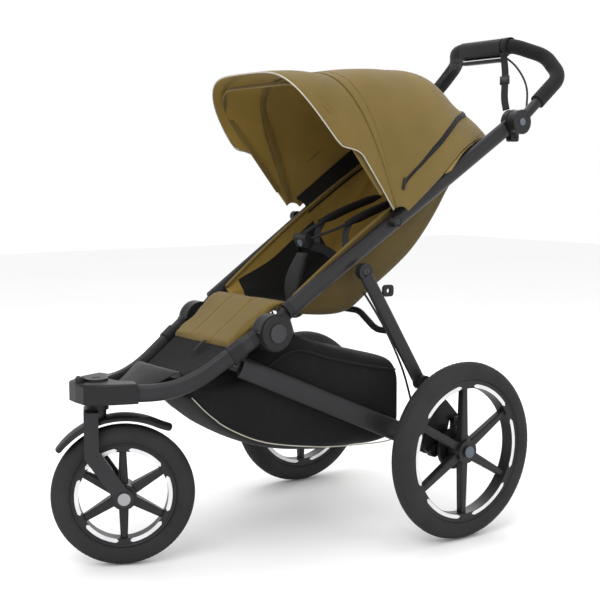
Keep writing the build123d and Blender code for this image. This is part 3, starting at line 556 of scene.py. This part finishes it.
def reflectors(name, centre, axis, start, outer, face, body):
    """Bright bands between the spokes, on both faces of the rim, with rounded ends."""
    axis = Vector(axis).normalized()
    one = Vector(start) - axis * Vector(start).dot(axis)
    one.normalize()
    two = axis.cross(one)
    points, faces = [], []
    for way in (1, -1):
        for n in range(SPOKES):
            first = len(points)
            for share in shares(BAND_STEPS):
                a = math.radians(360 / SPOKES * n + BAND_SPREAD * share)
                end = max(0.0, abs(share) - 0.9) * 10
                half = BAND_HALF * math.sqrt(max(0.05, 1 - end * end))
                radial = math.cos(a) * one + math.sin(a) * two
                for r in (outer - BAND_HALF - half, outer - BAND_HALF + half):
                    for rise in (0.0001, 0.0009):
                        points.append(centre + radial * r + axis * way * (face + rise))
            for k in range(BAND_STEPS):
                a = first + 4 * k
                for i, j in ((0, 1), (1, 3), (3, 2), (2, 0)):
                    faces.append((a + i, a + j, a + 4 + j, a + 4 + i)[::way])
            faces.append(tuple(first + q for q in (0, 2, 3, 1))[::way])
            faces.append(tuple(first + 4 * BAND_STEPS + q for q in (0, 1, 3, 2))[::way])
    return carry(piece(name, points, faces, SILVER, smooth=False), body)


SWIVEL = math.radians(25.6)   # how far the front wheel stands turned
TRAIL = 0.052
TRACK_HALF, REAR_R, FRONT_R = 0.30875, 0.200, 0.150
front_axis = Vector((math.cos(SWIVEL), -math.sin(SWIVEL), 0))
front_back = Vector((math.sin(SWIVEL), math.cos(SWIVEL), 0))
front_centre = P(0, -0.745, FRONT_R) + front_back * TRAIL
wheels = [("front", front_centre, front_axis, front_back, FRONT_R, "front_wheel", "front_tyre")]
for side, label in ((1, "left"), (-1, "right")):
    wheels.append((label, P(side * TRACK_HALF, 0, REAR_R), Vector((side, 0, 0)), Vector((0, 1, 0)),
                   REAR_R, f"rear_wheel_{label}", f"rear_tyre_{label}"))
RIM_INSET = 0.039             # from the tyre's outside to the rim's
VALVE_TURN = 0.55             # radians from a spoke
for label, centre, axis, start, wheel_r, body, node in wheels:
    tyre(f"{label}_tyre_tread", centre, axis, wheel_r, body, node)
    rim_r = wheel_r - RIM_INSET
    reflectors(f"{label}_reflectors", centre, axis, start, rim_r - 0.0095, 0.015, body)
    for way, face in ((1, "outer"), (-1, "inner")):
        lip = turned(f"{label}_rim_lip_{face}",
                     [(way * 0.0120, rim_r - 0.0060), (way * 0.0158, rim_r - 0.0050),
                      (way * 0.0166, rim_r - 0.0015), (way * 0.0150, rim_r + 0.0012),
                      (way * 0.0120, rim_r + 0.0012)], centre, axis, RIM_PLASTIC, 120, ring=True)
        carry(lip, body)
    spoke_gap = (math.cos(VALVE_TURN) * start + math.sin(VALVE_TURN) * axis.cross(start)).normalized()
    stem = centre + spoke_gap * (rim_r - 0.019)
    valve = turned(f"{label}_valve_stem",
                   [(0, 0.0042), (0.006, 0.0042), (0.008, 0.0032), (0.022, 0.0030), (0.023, 0.0036),
                    (0.031, 0.0034), (0.032, 0.0020)], stem + spoke_gap * 0.001, -spoke_gap, TYRE, 16)
    carry(valve, body)

# The front mudguard: a domed strip with turned-down edges.
GUARD_R, GUARD_HALF = 0.1705, 0.0295
GUARD_FROM, GUARD_SPAN, GUARD_STEPS = 54, 90, 32
guard_rows = []
for n in range(GUARD_STEPS + 1):
    a = math.radians(GUARD_FROM + GUARD_SPAN * n / GUARD_STEPS)
    lift = 0.006 * max(0.0, 1 - n / 4) ** 2
    taper = (1 - 0.35 * max(0.0, (n - 27) / 5) ** 2) * (1 - 0.12 * max(0.0, 1 - n / 3))
    half = GUARD_HALF * taper
    row = []
    for u in shares(14):
        turned_down = 0.007 * max(0.0, (abs(u) - 0.86) / 0.14)
        r = GUARD_R + lift - 0.0035 * u * u - turned_down
        row.append(front_centre + front_axis * half * u
                   + r * (front_back * math.cos(a) + Vector((0, 0, 1)) * math.sin(a)))
    guard_rows.append(row)
mudguard = thicken(grid("mudguard", guard_rows, PLASTIC), 0.0024, offset=0)
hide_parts("front_fender")
carry(mudguard, "fork")

# ------------------------------------------------------------------ canopy
# The hood is swept round the hinge line: phi is the angle up from the rear, s the share across.
HINGE = P(0, -0.100, 0.715)
HALF = 0.207
HEM = 0.028                   # lowest reach of the hood's sides from the hinge
crown = table([(20, 0.446), (23.4, 0.441), (33.5, 0.414), (46.8, 0.378), (58, 0.374), (63, 0.371),
               (72.6, 0.357), (80.4, 0.344), (96, 0.339), (113, 0.353), (125.7, 0.401),
               (131, 0.425), (138, 0.436)])


def arch_shares(count, boxiness):
    """Half-width and height shares across an arch, evenly spaced along its length."""
    half, high = 0.21, 0.38
    fine = []
    for k in range(401):
        a = math.pi * k / 400
        x = math.copysign(abs(math.cos(a)) ** (2 / boxiness), math.cos(a))
        fine.append(Vector((x * half, max(0.0, math.sin(a)) ** (2 / boxiness) * high, 0)))
    return [(p.x / half, p.y / high) for p in along(fine, count)]


ARCH_STEPS = 240
ROUND_ARCH = arch_shares(ARCH_STEPS + 1, 2.9)
BOXY_ARCH = arch_shares(ARCH_STEPS + 1, 4.2)


def arch_at(s, phi):
    """Shares of half-width and height at s along the arch: rounder at the back, boxy in front."""
    boxy = min(1.0, max(0.0, (phi - 40) / 55))
    i = min(ARCH_STEPS - 1, int(s * ARCH_STEPS))
    f = s * ARCH_STEPS - i
    pick = [[arch[i][n] * (1 - f) + arch[i + 1][n] * f for n in (0, 1)]
            for arch in (ROUND_ARCH, BOXY_ARCH)]
    return [pick[0][n] * (1 - boxy) + pick[1][n] * boxy for n in (0, 1)]


def hood_point(phi, s, out=0.0):
    """A point of the hood at angle phi and s across it, pushed outwards by out."""
    share_x, share_h = arch_at(s, phi)
    height = HEM + (crown(phi) + out - HEM) * share_h
    flare = 1 + 0.035 * math.sin(math.pi * min(1.0, share_h))
    lean = math.radians(phi)
    return HINGE + Vector((share_x * (HALF * flare + out), height * math.cos(lean),
                           height * math.sin(lean)))


def rear_phi(s):
    """The hood's rear edge: it reaches further back at the crown."""
    share_h = arch_at(s, 38)[1]
    return 38.5 - 15.0 * max(0.0, (share_h - 0.55) / 0.45) ** 1.6


def front_phi(s):
    """The visor's edge: it stands forward of its sides, and dips at the crown."""
    share_h = arch_at(s, 130)[1]
    bulge = min(1.0, max(0.0, (0.42 * share_h - 0.165) / 0.05))
    bulge = bulge * bulge * (3 - 2 * bulge)
    return 128.0 + 8.0 * bulge - 5.0 * max(0.0, (share_h - 0.55) / 0.45)


ACROSS = 61
SEAM_PHI = 113.0


def hood_rows(phi_from, phi_to, count, out=0.0, wrinkle=0.0035):
    """Rows across the hood from one edge to another, with soft wrinkles."""
    rows = []
    for i in range(count):
        row = []
        for k in range(ACROSS):
            s = k / (ACROSS - 1)
            phi = phi_from(s) + (phi_to(s) - phi_from(s)) * i / (count - 1)
            p = hood_point(phi, s, out)
            inside = math.sin(math.pi * i / (count - 1))
            slack = (0.4 * wrinkle + ripple((p.x * 1.2, p.y, p.z * 0.5), 9, wrinkle)) * inside
            row.append(p + (p - HINGE).normalized() * slack)
        rows.append(row)
    return rows


# The hood's inner face takes the lighter olive copy: painted light.
hood = grid("canopy_hood", hood_rows(rear_phi, lambda s: SEAM_PHI + 1.5, 27), [OLIVE, OLIVE_PAINTED_LIGHT])
thicken(hood, 0.0022, inner_material=1)
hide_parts("canopy_middle", "canopy_rear")
OVER_HOOD = ("upper_frame", "canopy_middle", P(0, 0.045, 0.80), P(0, -0.165, 0.86))
bend(hood, "olive_fabric", *OVER_HOOD)

# The visor starts under the hood's front edge.
# The visor's inner face takes the lighter olive copy: painted light.
brim = grid("canopy_visor", hood_rows(lambda s: SEAM_PHI - 1.0, front_phi, 11, -0.0024, 0.002),
            [OLIVE, OLIVE_PAINTED_LIGHT])
thicken(brim, 0.0022, inner_material=1)
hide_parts("canopy_brim")
OVER_BRIM = ("canopy_middle", "canopy_front", P(0, -0.19, 0.92), P(0, -0.27, 0.89))
bend(brim, "olive_fabric", *OVER_BRIM)

edge = [hood_point(front_phi(k / 160), k / 160, -0.0034) for k in range(161)]
edge_piping = tube("visor_piping", edge, 0.0017, PIPING, 8)
bend(edge_piping, "olive_fabric", *OVER_BRIM)


# The zip runs diagonally over the rear of the hood, with a pull at each end.
zip_phi = table([(0.16, 88.0), (0.26, 73.0), (0.34, 65.0), (0.50, 56.5), (0.66, 52.0), (0.82, 47.5),
                 (1.0, 38.5)])
zip_places = [(zip_phi(arch_at(k / 240, 60)[1]), k / 240) for k in range(241)]
zip_places = [(phi, s) for phi, s in zip_places if phi < 87.5]
tape = ribbon("canopy_zip", along([hood_point(*place, out=0.0012) for place in zip_places], 90), 0.0120,
              lambda p, i: Vector((p.x * 1.4, *(p - HINGE).yz)).normalized(), 0.0016, STRAP)
bend(tape, "black_fabric", *OVER_HOOD)
teeth = tube("canopy_zip_teeth", along([hood_point(*p, out=0.0026) for p in zip_places], 160),
             0.0011, PLASTIC, 6)
bend(teeth, "black_plastic", *OVER_HOOD)
for place, label in ((zip_places[0], "left"), (zip_places[-1], "right")):
    at = hood_point(*place, out=0.0035)
    down = Vector((0, -0.25, -1)).normalized()
    tab = ribbon(f"zip_pull_{label}", [at + down * (-0.010), at, at + down * 0.016],
                 [0.010, 0.009, 0.006], (math.copysign(1, at.x), 0, 0), 0.0022, PLASTIC)
    bend(tab, "black_plastic", *OVER_HOOD)

seam = tube("hood_seam", [hood_point(SEAM_PHI - 3.0, k / 120, 0.0002) for k in range(121)],
            0.0007, SEAM, 6)
bend(seam, "olive_fabric", *OVER_HOOD)

# The rear curtain between the hood's back edge and the top of the seat back.
curtain_rows = []
top_edge = [hood_point(rear_phi(s), s) for s in (k / 60 for k in range(61))
            if arch_at(s, 30)[1] > 0.34]
count = len(top_edge)
for i in range(12):
    t = i / 11
    row = []
    for k, p in enumerate(top_edge):
        u = 2 * k / (count - 1) - 1
        low = P(-u * 0.150, 0.152 - 0.006 * (1 - u * u), 0.862 - 0.02 * abs(u) ** 3)
        q = p.lerp(low, t)
        q.y += 0.020 * math.sin(math.pi * t) * (1 - u * u) + ripple(q, 14, 0.004)
        row.append(q)
    curtain_rows.append(row)
# The curtain's inner face takes the lighter olive copy: painted light.
curtain = thicken(grid("canopy_curtain", curtain_rows, [OLIVE, OLIVE_PAINTED_LIGHT]), 0.002, inner_material=1)
bend(curtain, "olive_fabric", "upper_frame", "seat_back", P(0, 0.29, 0.89), P(0, 0.16, 0.86))

# ------------------------------------------------------------------ seat shell
seat_line = along(spline([P(0, y, z) for y, z in (
    (-0.341, 0.530), (-0.290, 0.515), (-0.228, 0.508), (-0.176, 0.512), (-0.140, 0.534),
    (-0.105, 0.561), (-0.050, 0.598), (-0.001, 0.636), (0.040, 0.680), (0.075, 0.726),
    (0.100, 0.766), (0.121, 0.806), (0.138, 0.840), (0.150, 0.868))]), 44)
STATIONS = len(seat_line)


RIM_FRONT, RIM_LENGTH = -0.341, 0.491


def seat_rim(t):
    """The seat's rim in side view, t of the way from the front to the top."""
    height = 0.552 + 0.322 * t ** 0.97 + 0.012 * math.sin(math.pi * t)
    return P(0, RIM_FRONT + RIM_LENGTH * t, height)


def seat_row(i):
    """A U section of the seat shell at one station, from the left rim to the right rim."""
    t = i / (STATIONS - 1)
    p = seat_line[i]
    rim = seat_rim(t)
    low_half = 0.122 + 0.022 * t
    top_half = 0.136 + 0.030 * t
    depth = (rim - p).length
    round_r = min(0.032, depth * 0.45)
    into = (rim - p).normalized()
    row = []
    for side in (1, -1):
        wall = []
        for k in range(7):
            s = k / 6
            q = rim.lerp(p + into * round_r, s)
            x = top_half + (low_half - top_half) * s + 0.006 * math.sin(math.pi * s)
            wall.append(Vector((side * x, q.y, q.z)))
        for k in range(1, 5):
            a = math.radians(90 * k / 5)
            x = low_half - round_r * (1 - math.cos(a))
            q = p + into * round_r * (1 - math.sin(a))
            wall.append(Vector((side * x, q.y, q.z)))
        row.append(wall)
    under = []
    for u in shares(12):
        q = p - into * 0.004 * (1 - u * u)
        under.append(Vector((-u * (low_half - round_r), q.y, q.z)))
    return row[0] + under + row[1][::-1]


seat_rows = [seat_row(i) for i in range(STATIONS)]
# The seat's outside takes the darker olive copy, which is painted shade. Its inside takes the lighter
# olive copy, which is painted light, with the net panel.
seat = grid("seat_shell", seat_rows, [OLIVE_PAINTED_SHADE, OLIVE_PAINTED_SHADE, OLIVE_PAINTED_LIGHT, NET])
wide = len(seat_rows[0])
for face in seat.data.polygons:
    station, place = divmod(face.index, wide - 1)
    t = station / (STATIONS - 1)
    down = min(place, wide - 2 - place)
    face.material_index = 1 if down > 1 and (0.06 if down <= 10 else 0.26) < t < 0.50 else 0
seat.data.update()
thicken(seat, 0.007, inner_material=2, offset=1)
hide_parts("seat_base", "seat_back")
OVER_RECLINE = ("upper_frame", "seat_back", P(0, -0.150, 0.575), P(0, -0.070, 0.575))
bend(seat, "olive_fabric", *OVER_RECLINE)


for side, label in ((1, "left"), (-1, "right")):
    rim_line = [row[0 if side > 0 else -1] + Vector((0, 0, 0.001)) for row in seat_rows]
    binding = tube(f"seat_binding_{label}", along(rim_line, 120), 0.0042, OLIVE, 10)
    bend(binding, "olive_fabric", *OVER_RECLINE)

# The side wings, from the seat's rim up past the frame tube to inside the hood.
TUBE_AT = (0.145, -0.476, 0.455)
TUBE_FLARE, TUBE_RISE = 0.0679, 0.6556
for side, label in ((1, "left"), (-1, "right")):
    wing_rows = []
    for i in range(20):
        t = i / 19
        y = -0.092 + 0.186 * t
        tube_x = TUBE_AT[0] + (y - TUBE_AT[1]) * TUBE_FLARE
        tube_z = TUBE_AT[2] + (y - TUBE_AT[1]) * TUBE_RISE
        along_rim = (y - RIM_FRONT) / RIM_LENGTH
        knots = spline([P(side * (0.134 + 0.030 * along_rim), y, seat_rim(along_rim).z - 0.012),
                        P(side * (tube_x - 0.0165), y, tube_z + 0.018),
                        P(side * (tube_x - 0.004), y, tube_z + 0.034),
                        P(side * (0.1985 - 0.010 * t), y - 0.004, tube_z + 0.048 + 0.012 * t)], 4)
        wing_rows.append(knots)
    wing = thicken(grid(f"side_wing_{label}", wing_rows, BLACK_WEAVE), 0.0018, offset=0)
    carry(wing, "upper_frame")

# Two seam bands down the back of the seat.
BAND_START = 14
BAND_X = (-0.092, 0.092)
for n, x in enumerate(BAND_X):
    line = []
    for i in range(BAND_START, STATIONS - 1):
        p, q = seat_line[i], seat_line[i + 1]
        heading = (q - p).normalized()
        out = Vector((0, heading.z, -heading.y))
        line.append(Vector((x, p.y, p.z)) + out * 0.0035)
    # The bands take the lighter olive copy: painted light.
    band = ribbon(f"back_band_{n}", line, 0.016, (0, 0.7, -0.7), 0.002, OLIVE_PAINTED_LIGHT)
    bend(band, "olive_fabric", *OVER_RECLINE)


# ------------------------------------------------------------------ leg rest and footwell
def slab(name, rows, depth, material):
    """A closed pad: rows of points are its top, and depth how far down its underside is."""
    high, wide = len(rows), len(rows[0])
    under = [[p + depth for p in row] for row in rows]
    points = [p for row in rows for p in row] + [p for row in under for p in row]
    faces = []
    base = high * wide
    for i in range(high - 1):
        for j in range(wide - 1):
            a = i * wide + j
            faces.append((a, a + 1, a + wide + 1, a + wide))
            faces.append((base + a, base + a + wide, base + a + wide + 1, base + a + 1))
    ring = ([(0, j) for j in range(wide - 1)] + [(i, wide - 1) for i in range(high - 1)]
            + [(high - 1, j) for j in range(wide - 1, 0, -1)] + [(i, 0) for i in range(high - 1, 0, -1)])
    for (i, j), (k, m) in zip(ring, ring[1:] + ring[:1]):
        a, b = i * wide + j, k * wide + m
        faces.append((a, base + a, base + b, b))
    return piece(name, points, faces, material)


# The leg rest cushion, with two sewn channels down it and one across.
pad_side = along(spline([P(0, y, z) for y, z in (
    (-0.500, 0.452), (-0.470, 0.474), (-0.430, 0.503), (-0.395, 0.530), (-0.374, 0.541),
    (-0.352, 0.543))]), 22)
pad_rows = []
for i, p in enumerate(pad_side):
    t = i / 21
    half = 0.119 + 0.013 * t
    pad_rows.append([Vector((-half * u, p.y, p.z)) for u in shares(24)])
leg_pad = slab("leg_rest_cushion", pad_rows, Vector((0, 0.006, -0.010)), OLIVE)
inflate(leg_pad, 0.005, 0.006)
SEAMS_AT, CROSS_SEAM_AT, SEAM_DEPTH = (-0.040, 0.045), -0.378, 0.0022
for vertex in leg_pad.data.vertices:
    p = vertex.co
    y = p.y - AXLE_Y
    dip = sum(math.exp(-((p.x - x) / 0.0035) ** 2) for x in SEAMS_AT) if y < -0.375 else 0.0
    dip += 0.8 * math.exp(-((y - CROSS_SEAM_AT) / 0.0030) ** 2)
    if vertex.normal.z > 0.2:
        vertex.co = p - vertex.normal * SEAM_DEPTH * min(1.0, dip)
leg_pad.data.update()
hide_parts("leg_rest_pad")
carry(leg_pad, "front_frame")

# The dark cloth between the cushion and the footrest.
well_rows = []
for i in range(14):
    t = i / 13
    p = P(0, -0.594, 0.386).lerp(P(0, -0.484, 0.455), t)
    half = 0.088 + 0.026 * t
    well_rows.append([Vector((-half * u, p.y, p.z - 0.006 * math.sin(math.pi * t) * (1 - u * u)))
                      for u in shares(16)])
well = thicken(grid("footwell_cloth", well_rows, BLACK_WEAVE), 0.0022)
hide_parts("footwell_panel")
carry(well, "front_frame")

# The footrest, a shallow scoop with its lip at the rear: y, z and half-width along it.
scoop_rows = []
scoop_side = ((-0.689, 0.354, 0.041), (-0.687, 0.366, 0.044), (-0.670, 0.374, 0.052),
              (-0.640, 0.386, 0.068), (-0.612, 0.403, 0.083), (-0.600, 0.409, 0.089),
              (-0.592, 0.405, 0.091), (-0.590, 0.390, 0.091))
for y, z, half in scoop_side:
    front = min(1.0, max(0.0, (-0.560 - y) / 0.045))
    scoop_rows.append([P(-half * u, y - 0.014 * front * (1 - u * u), z - 0.004 * front * abs(u) ** 3)
                       for u in shares(16)])
scoop = thicken(grid("footrest_scoop", scoop_rows, PLASTIC), 0.004)
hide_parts("footrest_tray")
carry(scoop, "front_frame")

pull = ribbon("leg_rest_pull", spline([P(0.030, -0.500, 0.4585), P(0.031, -0.512, 0.452),
                                       P(0.031, -0.522, 0.443), P(0.030, -0.528, 0.4375)]),
              0.012, (0, -0.6, 0.8), 0.0016, STRAP)
carry(pull, "front_frame")

# ------------------------------------------------------------------ harness
crotch_side = along(spline([P(0, y, z) for y, z in (
    (-0.252, 0.522), (-0.254, 0.548), (-0.247, 0.580), (-0.234, 0.612), (-0.222, 0.636))]), 16)
crotch_rows = []
for i, p in enumerate(crotch_side):
    t = i / 15
    half = 0.017 + 0.010 * math.sin(math.pi * min(1.0, t * 1.15)) + 0.003 * t
    crotch_rows.append([Vector((-half * u, p.y, p.z)) for u in shares(10)])
crotch = slab("crotch_pad", crotch_rows, Vector((0, 0.012, -0.002)), PAD_GREY)
inflate(crotch, 0.004, 0.005)
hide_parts("crotch_strap")
carry(crotch, "upper_frame")

for side, label in ((1, "left"), (-1, "right")):
    x = side * 0.052
    line = along(spline([P(x, 0.052, 0.764), P(x, 0.000, 0.750), P(x, -0.060, 0.731),
                         P(x, -0.128, 0.704)]), 16)
    rows = []
    for i, p in enumerate(line):
        half = 0.0185 * (1 - 0.35 * (2 * i / 15 - 1) ** 8)
        rows.append([Vector((p.x - half * u, p.y, p.z)) for u in shares(8)])
    pad = slab(f"shoulder_pad_{label}", rows[::-1], Vector((0, 0.002, -0.008)), BLACK_WEAVE)
    inflate(pad, 0.004, 0.004)
    if side > 0:
        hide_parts("shoulder_pads")
    carry(pad, "seat_back")
    web = ribbon(f"harness_web_{label}",
                 along(spline([P(x, -0.110, 0.707), P(x * 0.9, -0.150, 0.692),
                               P(x * 0.7, -0.182, 0.680), P(side * 0.022, -0.212, 0.668)]), 30),
                 0.021, (0, -0.3, 1), 0.0018, STRAP)
    bend(web, "black_fabric", "upper_frame", "seat_back", P(0, -0.19, 0.68), P(0, -0.12, 0.70))
    waist = ribbon(f"waist_web_{label}",
                   along(spline([P(side * 0.024, -0.208, 0.652), P(side * 0.052, -0.186, 0.640),
                                 P(side * 0.086, -0.165, 0.610), P(side * 0.112, -0.150, 0.565)]), 26),
                   0.022, (side * 0.8, -0.5, 0.4), 0.0018, STRAP)
    carry(waist, "upper_frame")
    tail = ribbon(f"harness_tail_{label}",
                  along(spline([P(x, -0.122, 0.700), P(x * 1.02, -0.134, 0.680),
                                P(x * 1.04, -0.136, 0.645)]), 14),
                  0.019, (0.2, -1, 0.2), 0.0018, GREY_STRAP)
    carry(tail, "seat_back")

# ------------------------------------------------------------------ basket
# Heights of the bag's underside and rim, and its half-width, along Y.
basket_low = table([(-0.572, 0.352), (-0.531, 0.306), (-0.481, 0.266), (-0.398, 0.224),
                    (-0.290, 0.204), (-0.180, 0.203), (-0.120, 0.208), (-0.092, 0.224)])
basket_top = table([(-0.572, 0.374), (-0.500, 0.374), (-0.450, 0.384), (-0.410, 0.422),
                    (-0.365, 0.462), (-0.326, 0.472), (-0.272, 0.452), (-0.180, 0.424),
                    (-0.092, 0.404)])


def basket_half(y):
    """Half-width of the bag: it keeps inside the lower tubes and the wheels."""
    tube_x = 0.112 + (y + 0.490) * 0.2814
    outer = 0.206 + (y + 0.130) * 0.2747
    return min(outer, tube_x - 0.0135) if y > -0.51 else 0.0895 + (y + 0.560) * 0.18


BAG_FRONT, BAG_LENGTH = -0.572, 0.480
BAG_STEPS, BAG_RING = 40, 48
bag_rows = []
for i in range(BAG_STEPS + 1):
    y = BAG_FRONT + BAG_LENGTH * i / BAG_STEPS
    low, top, half = basket_low(y), basket_top(y), basket_half(y)
    middle, tall = (low + top) / 2, (top - low) / 2
    end = min(1.0, (i + 1) / 2.5, (BAG_STEPS + 1.5 - i) / 2.5)
    row = []
    for k in range(BAG_RING):
        a = 2 * math.pi * k / BAG_RING
        cx, cz = math.cos(a), math.sin(a)
        x = math.copysign(abs(cx) ** 0.34, cx)
        z = math.copysign(abs(cz) ** 0.42, cz)
        sag = 0.007 * (1 - abs(x) ** 2) if z < 0 else 0.0
        p = P(half * x * (0.90 + 0.10 * end), y, middle + tall * z * (0.86 + 0.14 * end) - sag)
        wave = ripple((p.x, p.y * 1.5, p.z), 13, 0.004)
        row.append(p + Vector((-abs(wave) * x, 0, wave * 0.6 * (1 if z > 0 else 0.4))))
    bag_rows.append(row)
bag = smoothed(grid("basket_bag", bag_rows, BLACK_WEAVE, close_columns=True, caps=True))
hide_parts("basket")
carry(bag, "chassis")
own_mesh(bag)


def bag_edge(side, share, lift, y_from, y_to=-0.11, count=60):
    """A line along the bag's side, lift of the way up it."""
    line = []
    for i in range(count):
        y = y_from + (y_to - y_from) * i / (count - 1)
        low, top = basket_low(y), basket_top(y)
        line.append(P(side * (basket_half(y) * share), y, low + (top - low) * lift))
    return line


for side, label in ((1, "left"), (-1, "right")):
    trim = tube(f"basket_piping_{label}", bag_edge(side, 0.985, 0.055, -0.568), 0.0014, PIPING, 8)
    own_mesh(carry(trim, "chassis"))
    lid = tube(f"basket_zip_{label}", bag_edge(side, 1.0, 0.86, -0.42), 0.0022, STRAP, 8)
    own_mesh(carry(lid, "chassis"))

# ------------------------------------------------------------------ cables and small fittings
# Each cable's route on the left side, as in the part.
HANDLE_CABLE = ((0.072, 0.346, 1.109), (0.104, 0.345, 1.093), (0.138, 0.341, 1.065),
                (0.168, 0.332, 1.032), (0.187, 0.317, 0.999), (0.1995, 0.299, 0.967))
LEG_CABLE = ((0.206, -0.204, 0.560), (0.214, -0.178, 0.520), (0.222, -0.150, 0.470),
             (0.229, -0.124, 0.415), (0.235, -0.104, 0.362), (0.237, -0.090, 0.310))


CABLE_DIAMETER = 0.005


def cable(name, route, side, body, node):
    """A brake cable on one side, from its route on the left."""
    curve = bpy.data.curves.new(name, "CURVE")
    curve.dimensions = "3D"
    line = curve.splines.new("NURBS")
    line.points.add(len(route) - 1)
    for point, (x, y, z) in zip(line.points, route):
        point.co = (*P(side * x, y, z), 1)
    line.order_u = 3
    line.use_endpoint_u = True
    line.resolution_u = 12
    curve.bevel_depth = CABLE_DIAMETER / 2
    curve.bevel_resolution = 4
    curve.materials.append(CABLE)
    made = bpy.data.objects.new(name, curve)
    bpy.context.scene.collection.objects.link(made)
    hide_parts(node)
    carry(made, body)
    x, y, z = route[0]


for side, label in ((1, "left"), (-1, "right")):
    cable(f"handle_cable_{label}", HANDLE_CABLE, side, "handlebar", "handle_cables")
    cable(f"leg_cable_{label}", LEG_CABLE, side, "rear_legs", "leg_cables")


def bolt(name, place, axis, radius, body):
    """A dome-head screw with a round socket."""
    profile = [(0, radius), (0.0012, radius), (0.0030, radius * 0.82), (0.0036, radius * 0.5),
               (0.0036, radius * 0.46), (0.0012, radius * 0.42)]
    carry(turned(name, profile, place, axis, BADGE, 24), body)


for side, label in ((1, "left"), (-1, "right")):
    out = (side, 0, 0)
    bolt(f"leg_top_bolt_{label}", P(side * 0.196, -0.188, 0.603), out, 0.0085, "rear_legs")
    bolt(f"low_pivot_bolt_{label}", P(side * 0.1332, -0.490, 0.420), out, 0.0075, "front_frame")
    bolt(f"canopy_bolt_{label}", P(side * 0.1965, -0.100, 0.711), out, 0.0065, "upper_frame")
    badge = turned(f"hub_disc_{label}",
                   [(0, 0.0205), (0.0006, 0.0205), (0.0011, 0.0195), (0.0011, 0.0120)],
                   P(side * 0.1785, -0.409, 0.482), out, BADGE, 64)
    carry(badge, "front_frame")

# The wrist strap round the handlebar.
strap_line = along(spline([P(0.1740, 0.258, 0.968), P(0.150, 0.276, 1.000), P(0.118, 0.310, 1.058),
                           P(0.094, 0.330, 1.096), P(0.086, 0.334, 1.114)]), 30)
strap = ribbon("wrist_strap", strap_line, 0.017, (0.6, -0.8, 0), 0.0020, STRAP)
carry(strap, "handlebar")
LOOP_AT, LOOP_R = P(0.086, 0.353, 1.132), 0.0198
loop_line = [LOOP_AT + LOOP_R * Vector((0, math.cos(a), math.sin(a)))
             for a in (2 * math.pi * k / 40 for k in range(41))]
loop = ribbon("wrist_loop", loop_line, 0.018, lambda p, i: (p - LOOP_AT).normalized(), 0.0018, STRAP)
carry(loop, "handlebar")
slider = ribbon("wrist_slider", [P(0.130, 0.2965, 1.034), P(0.120, 0.3065, 1.052)], 0.024,
                (0.6, -0.8, 0), 0.006, PLASTIC)
carry(slider, "handlebar")

# ------------------------------------------------------------------ floor
floor_rows = [[Vector((x, y, -0.0005)) for x in (-9, -3, 3, 9)] for y in (-9, -3, 3, 9)]
pale = Shade("pale_floor", (0.93, 0.93, 0.93), 0.95)
pale.tint(pale.noise(0.6), 0.99, 1.01)
floor = grid("floor", floor_rows, pale.material)
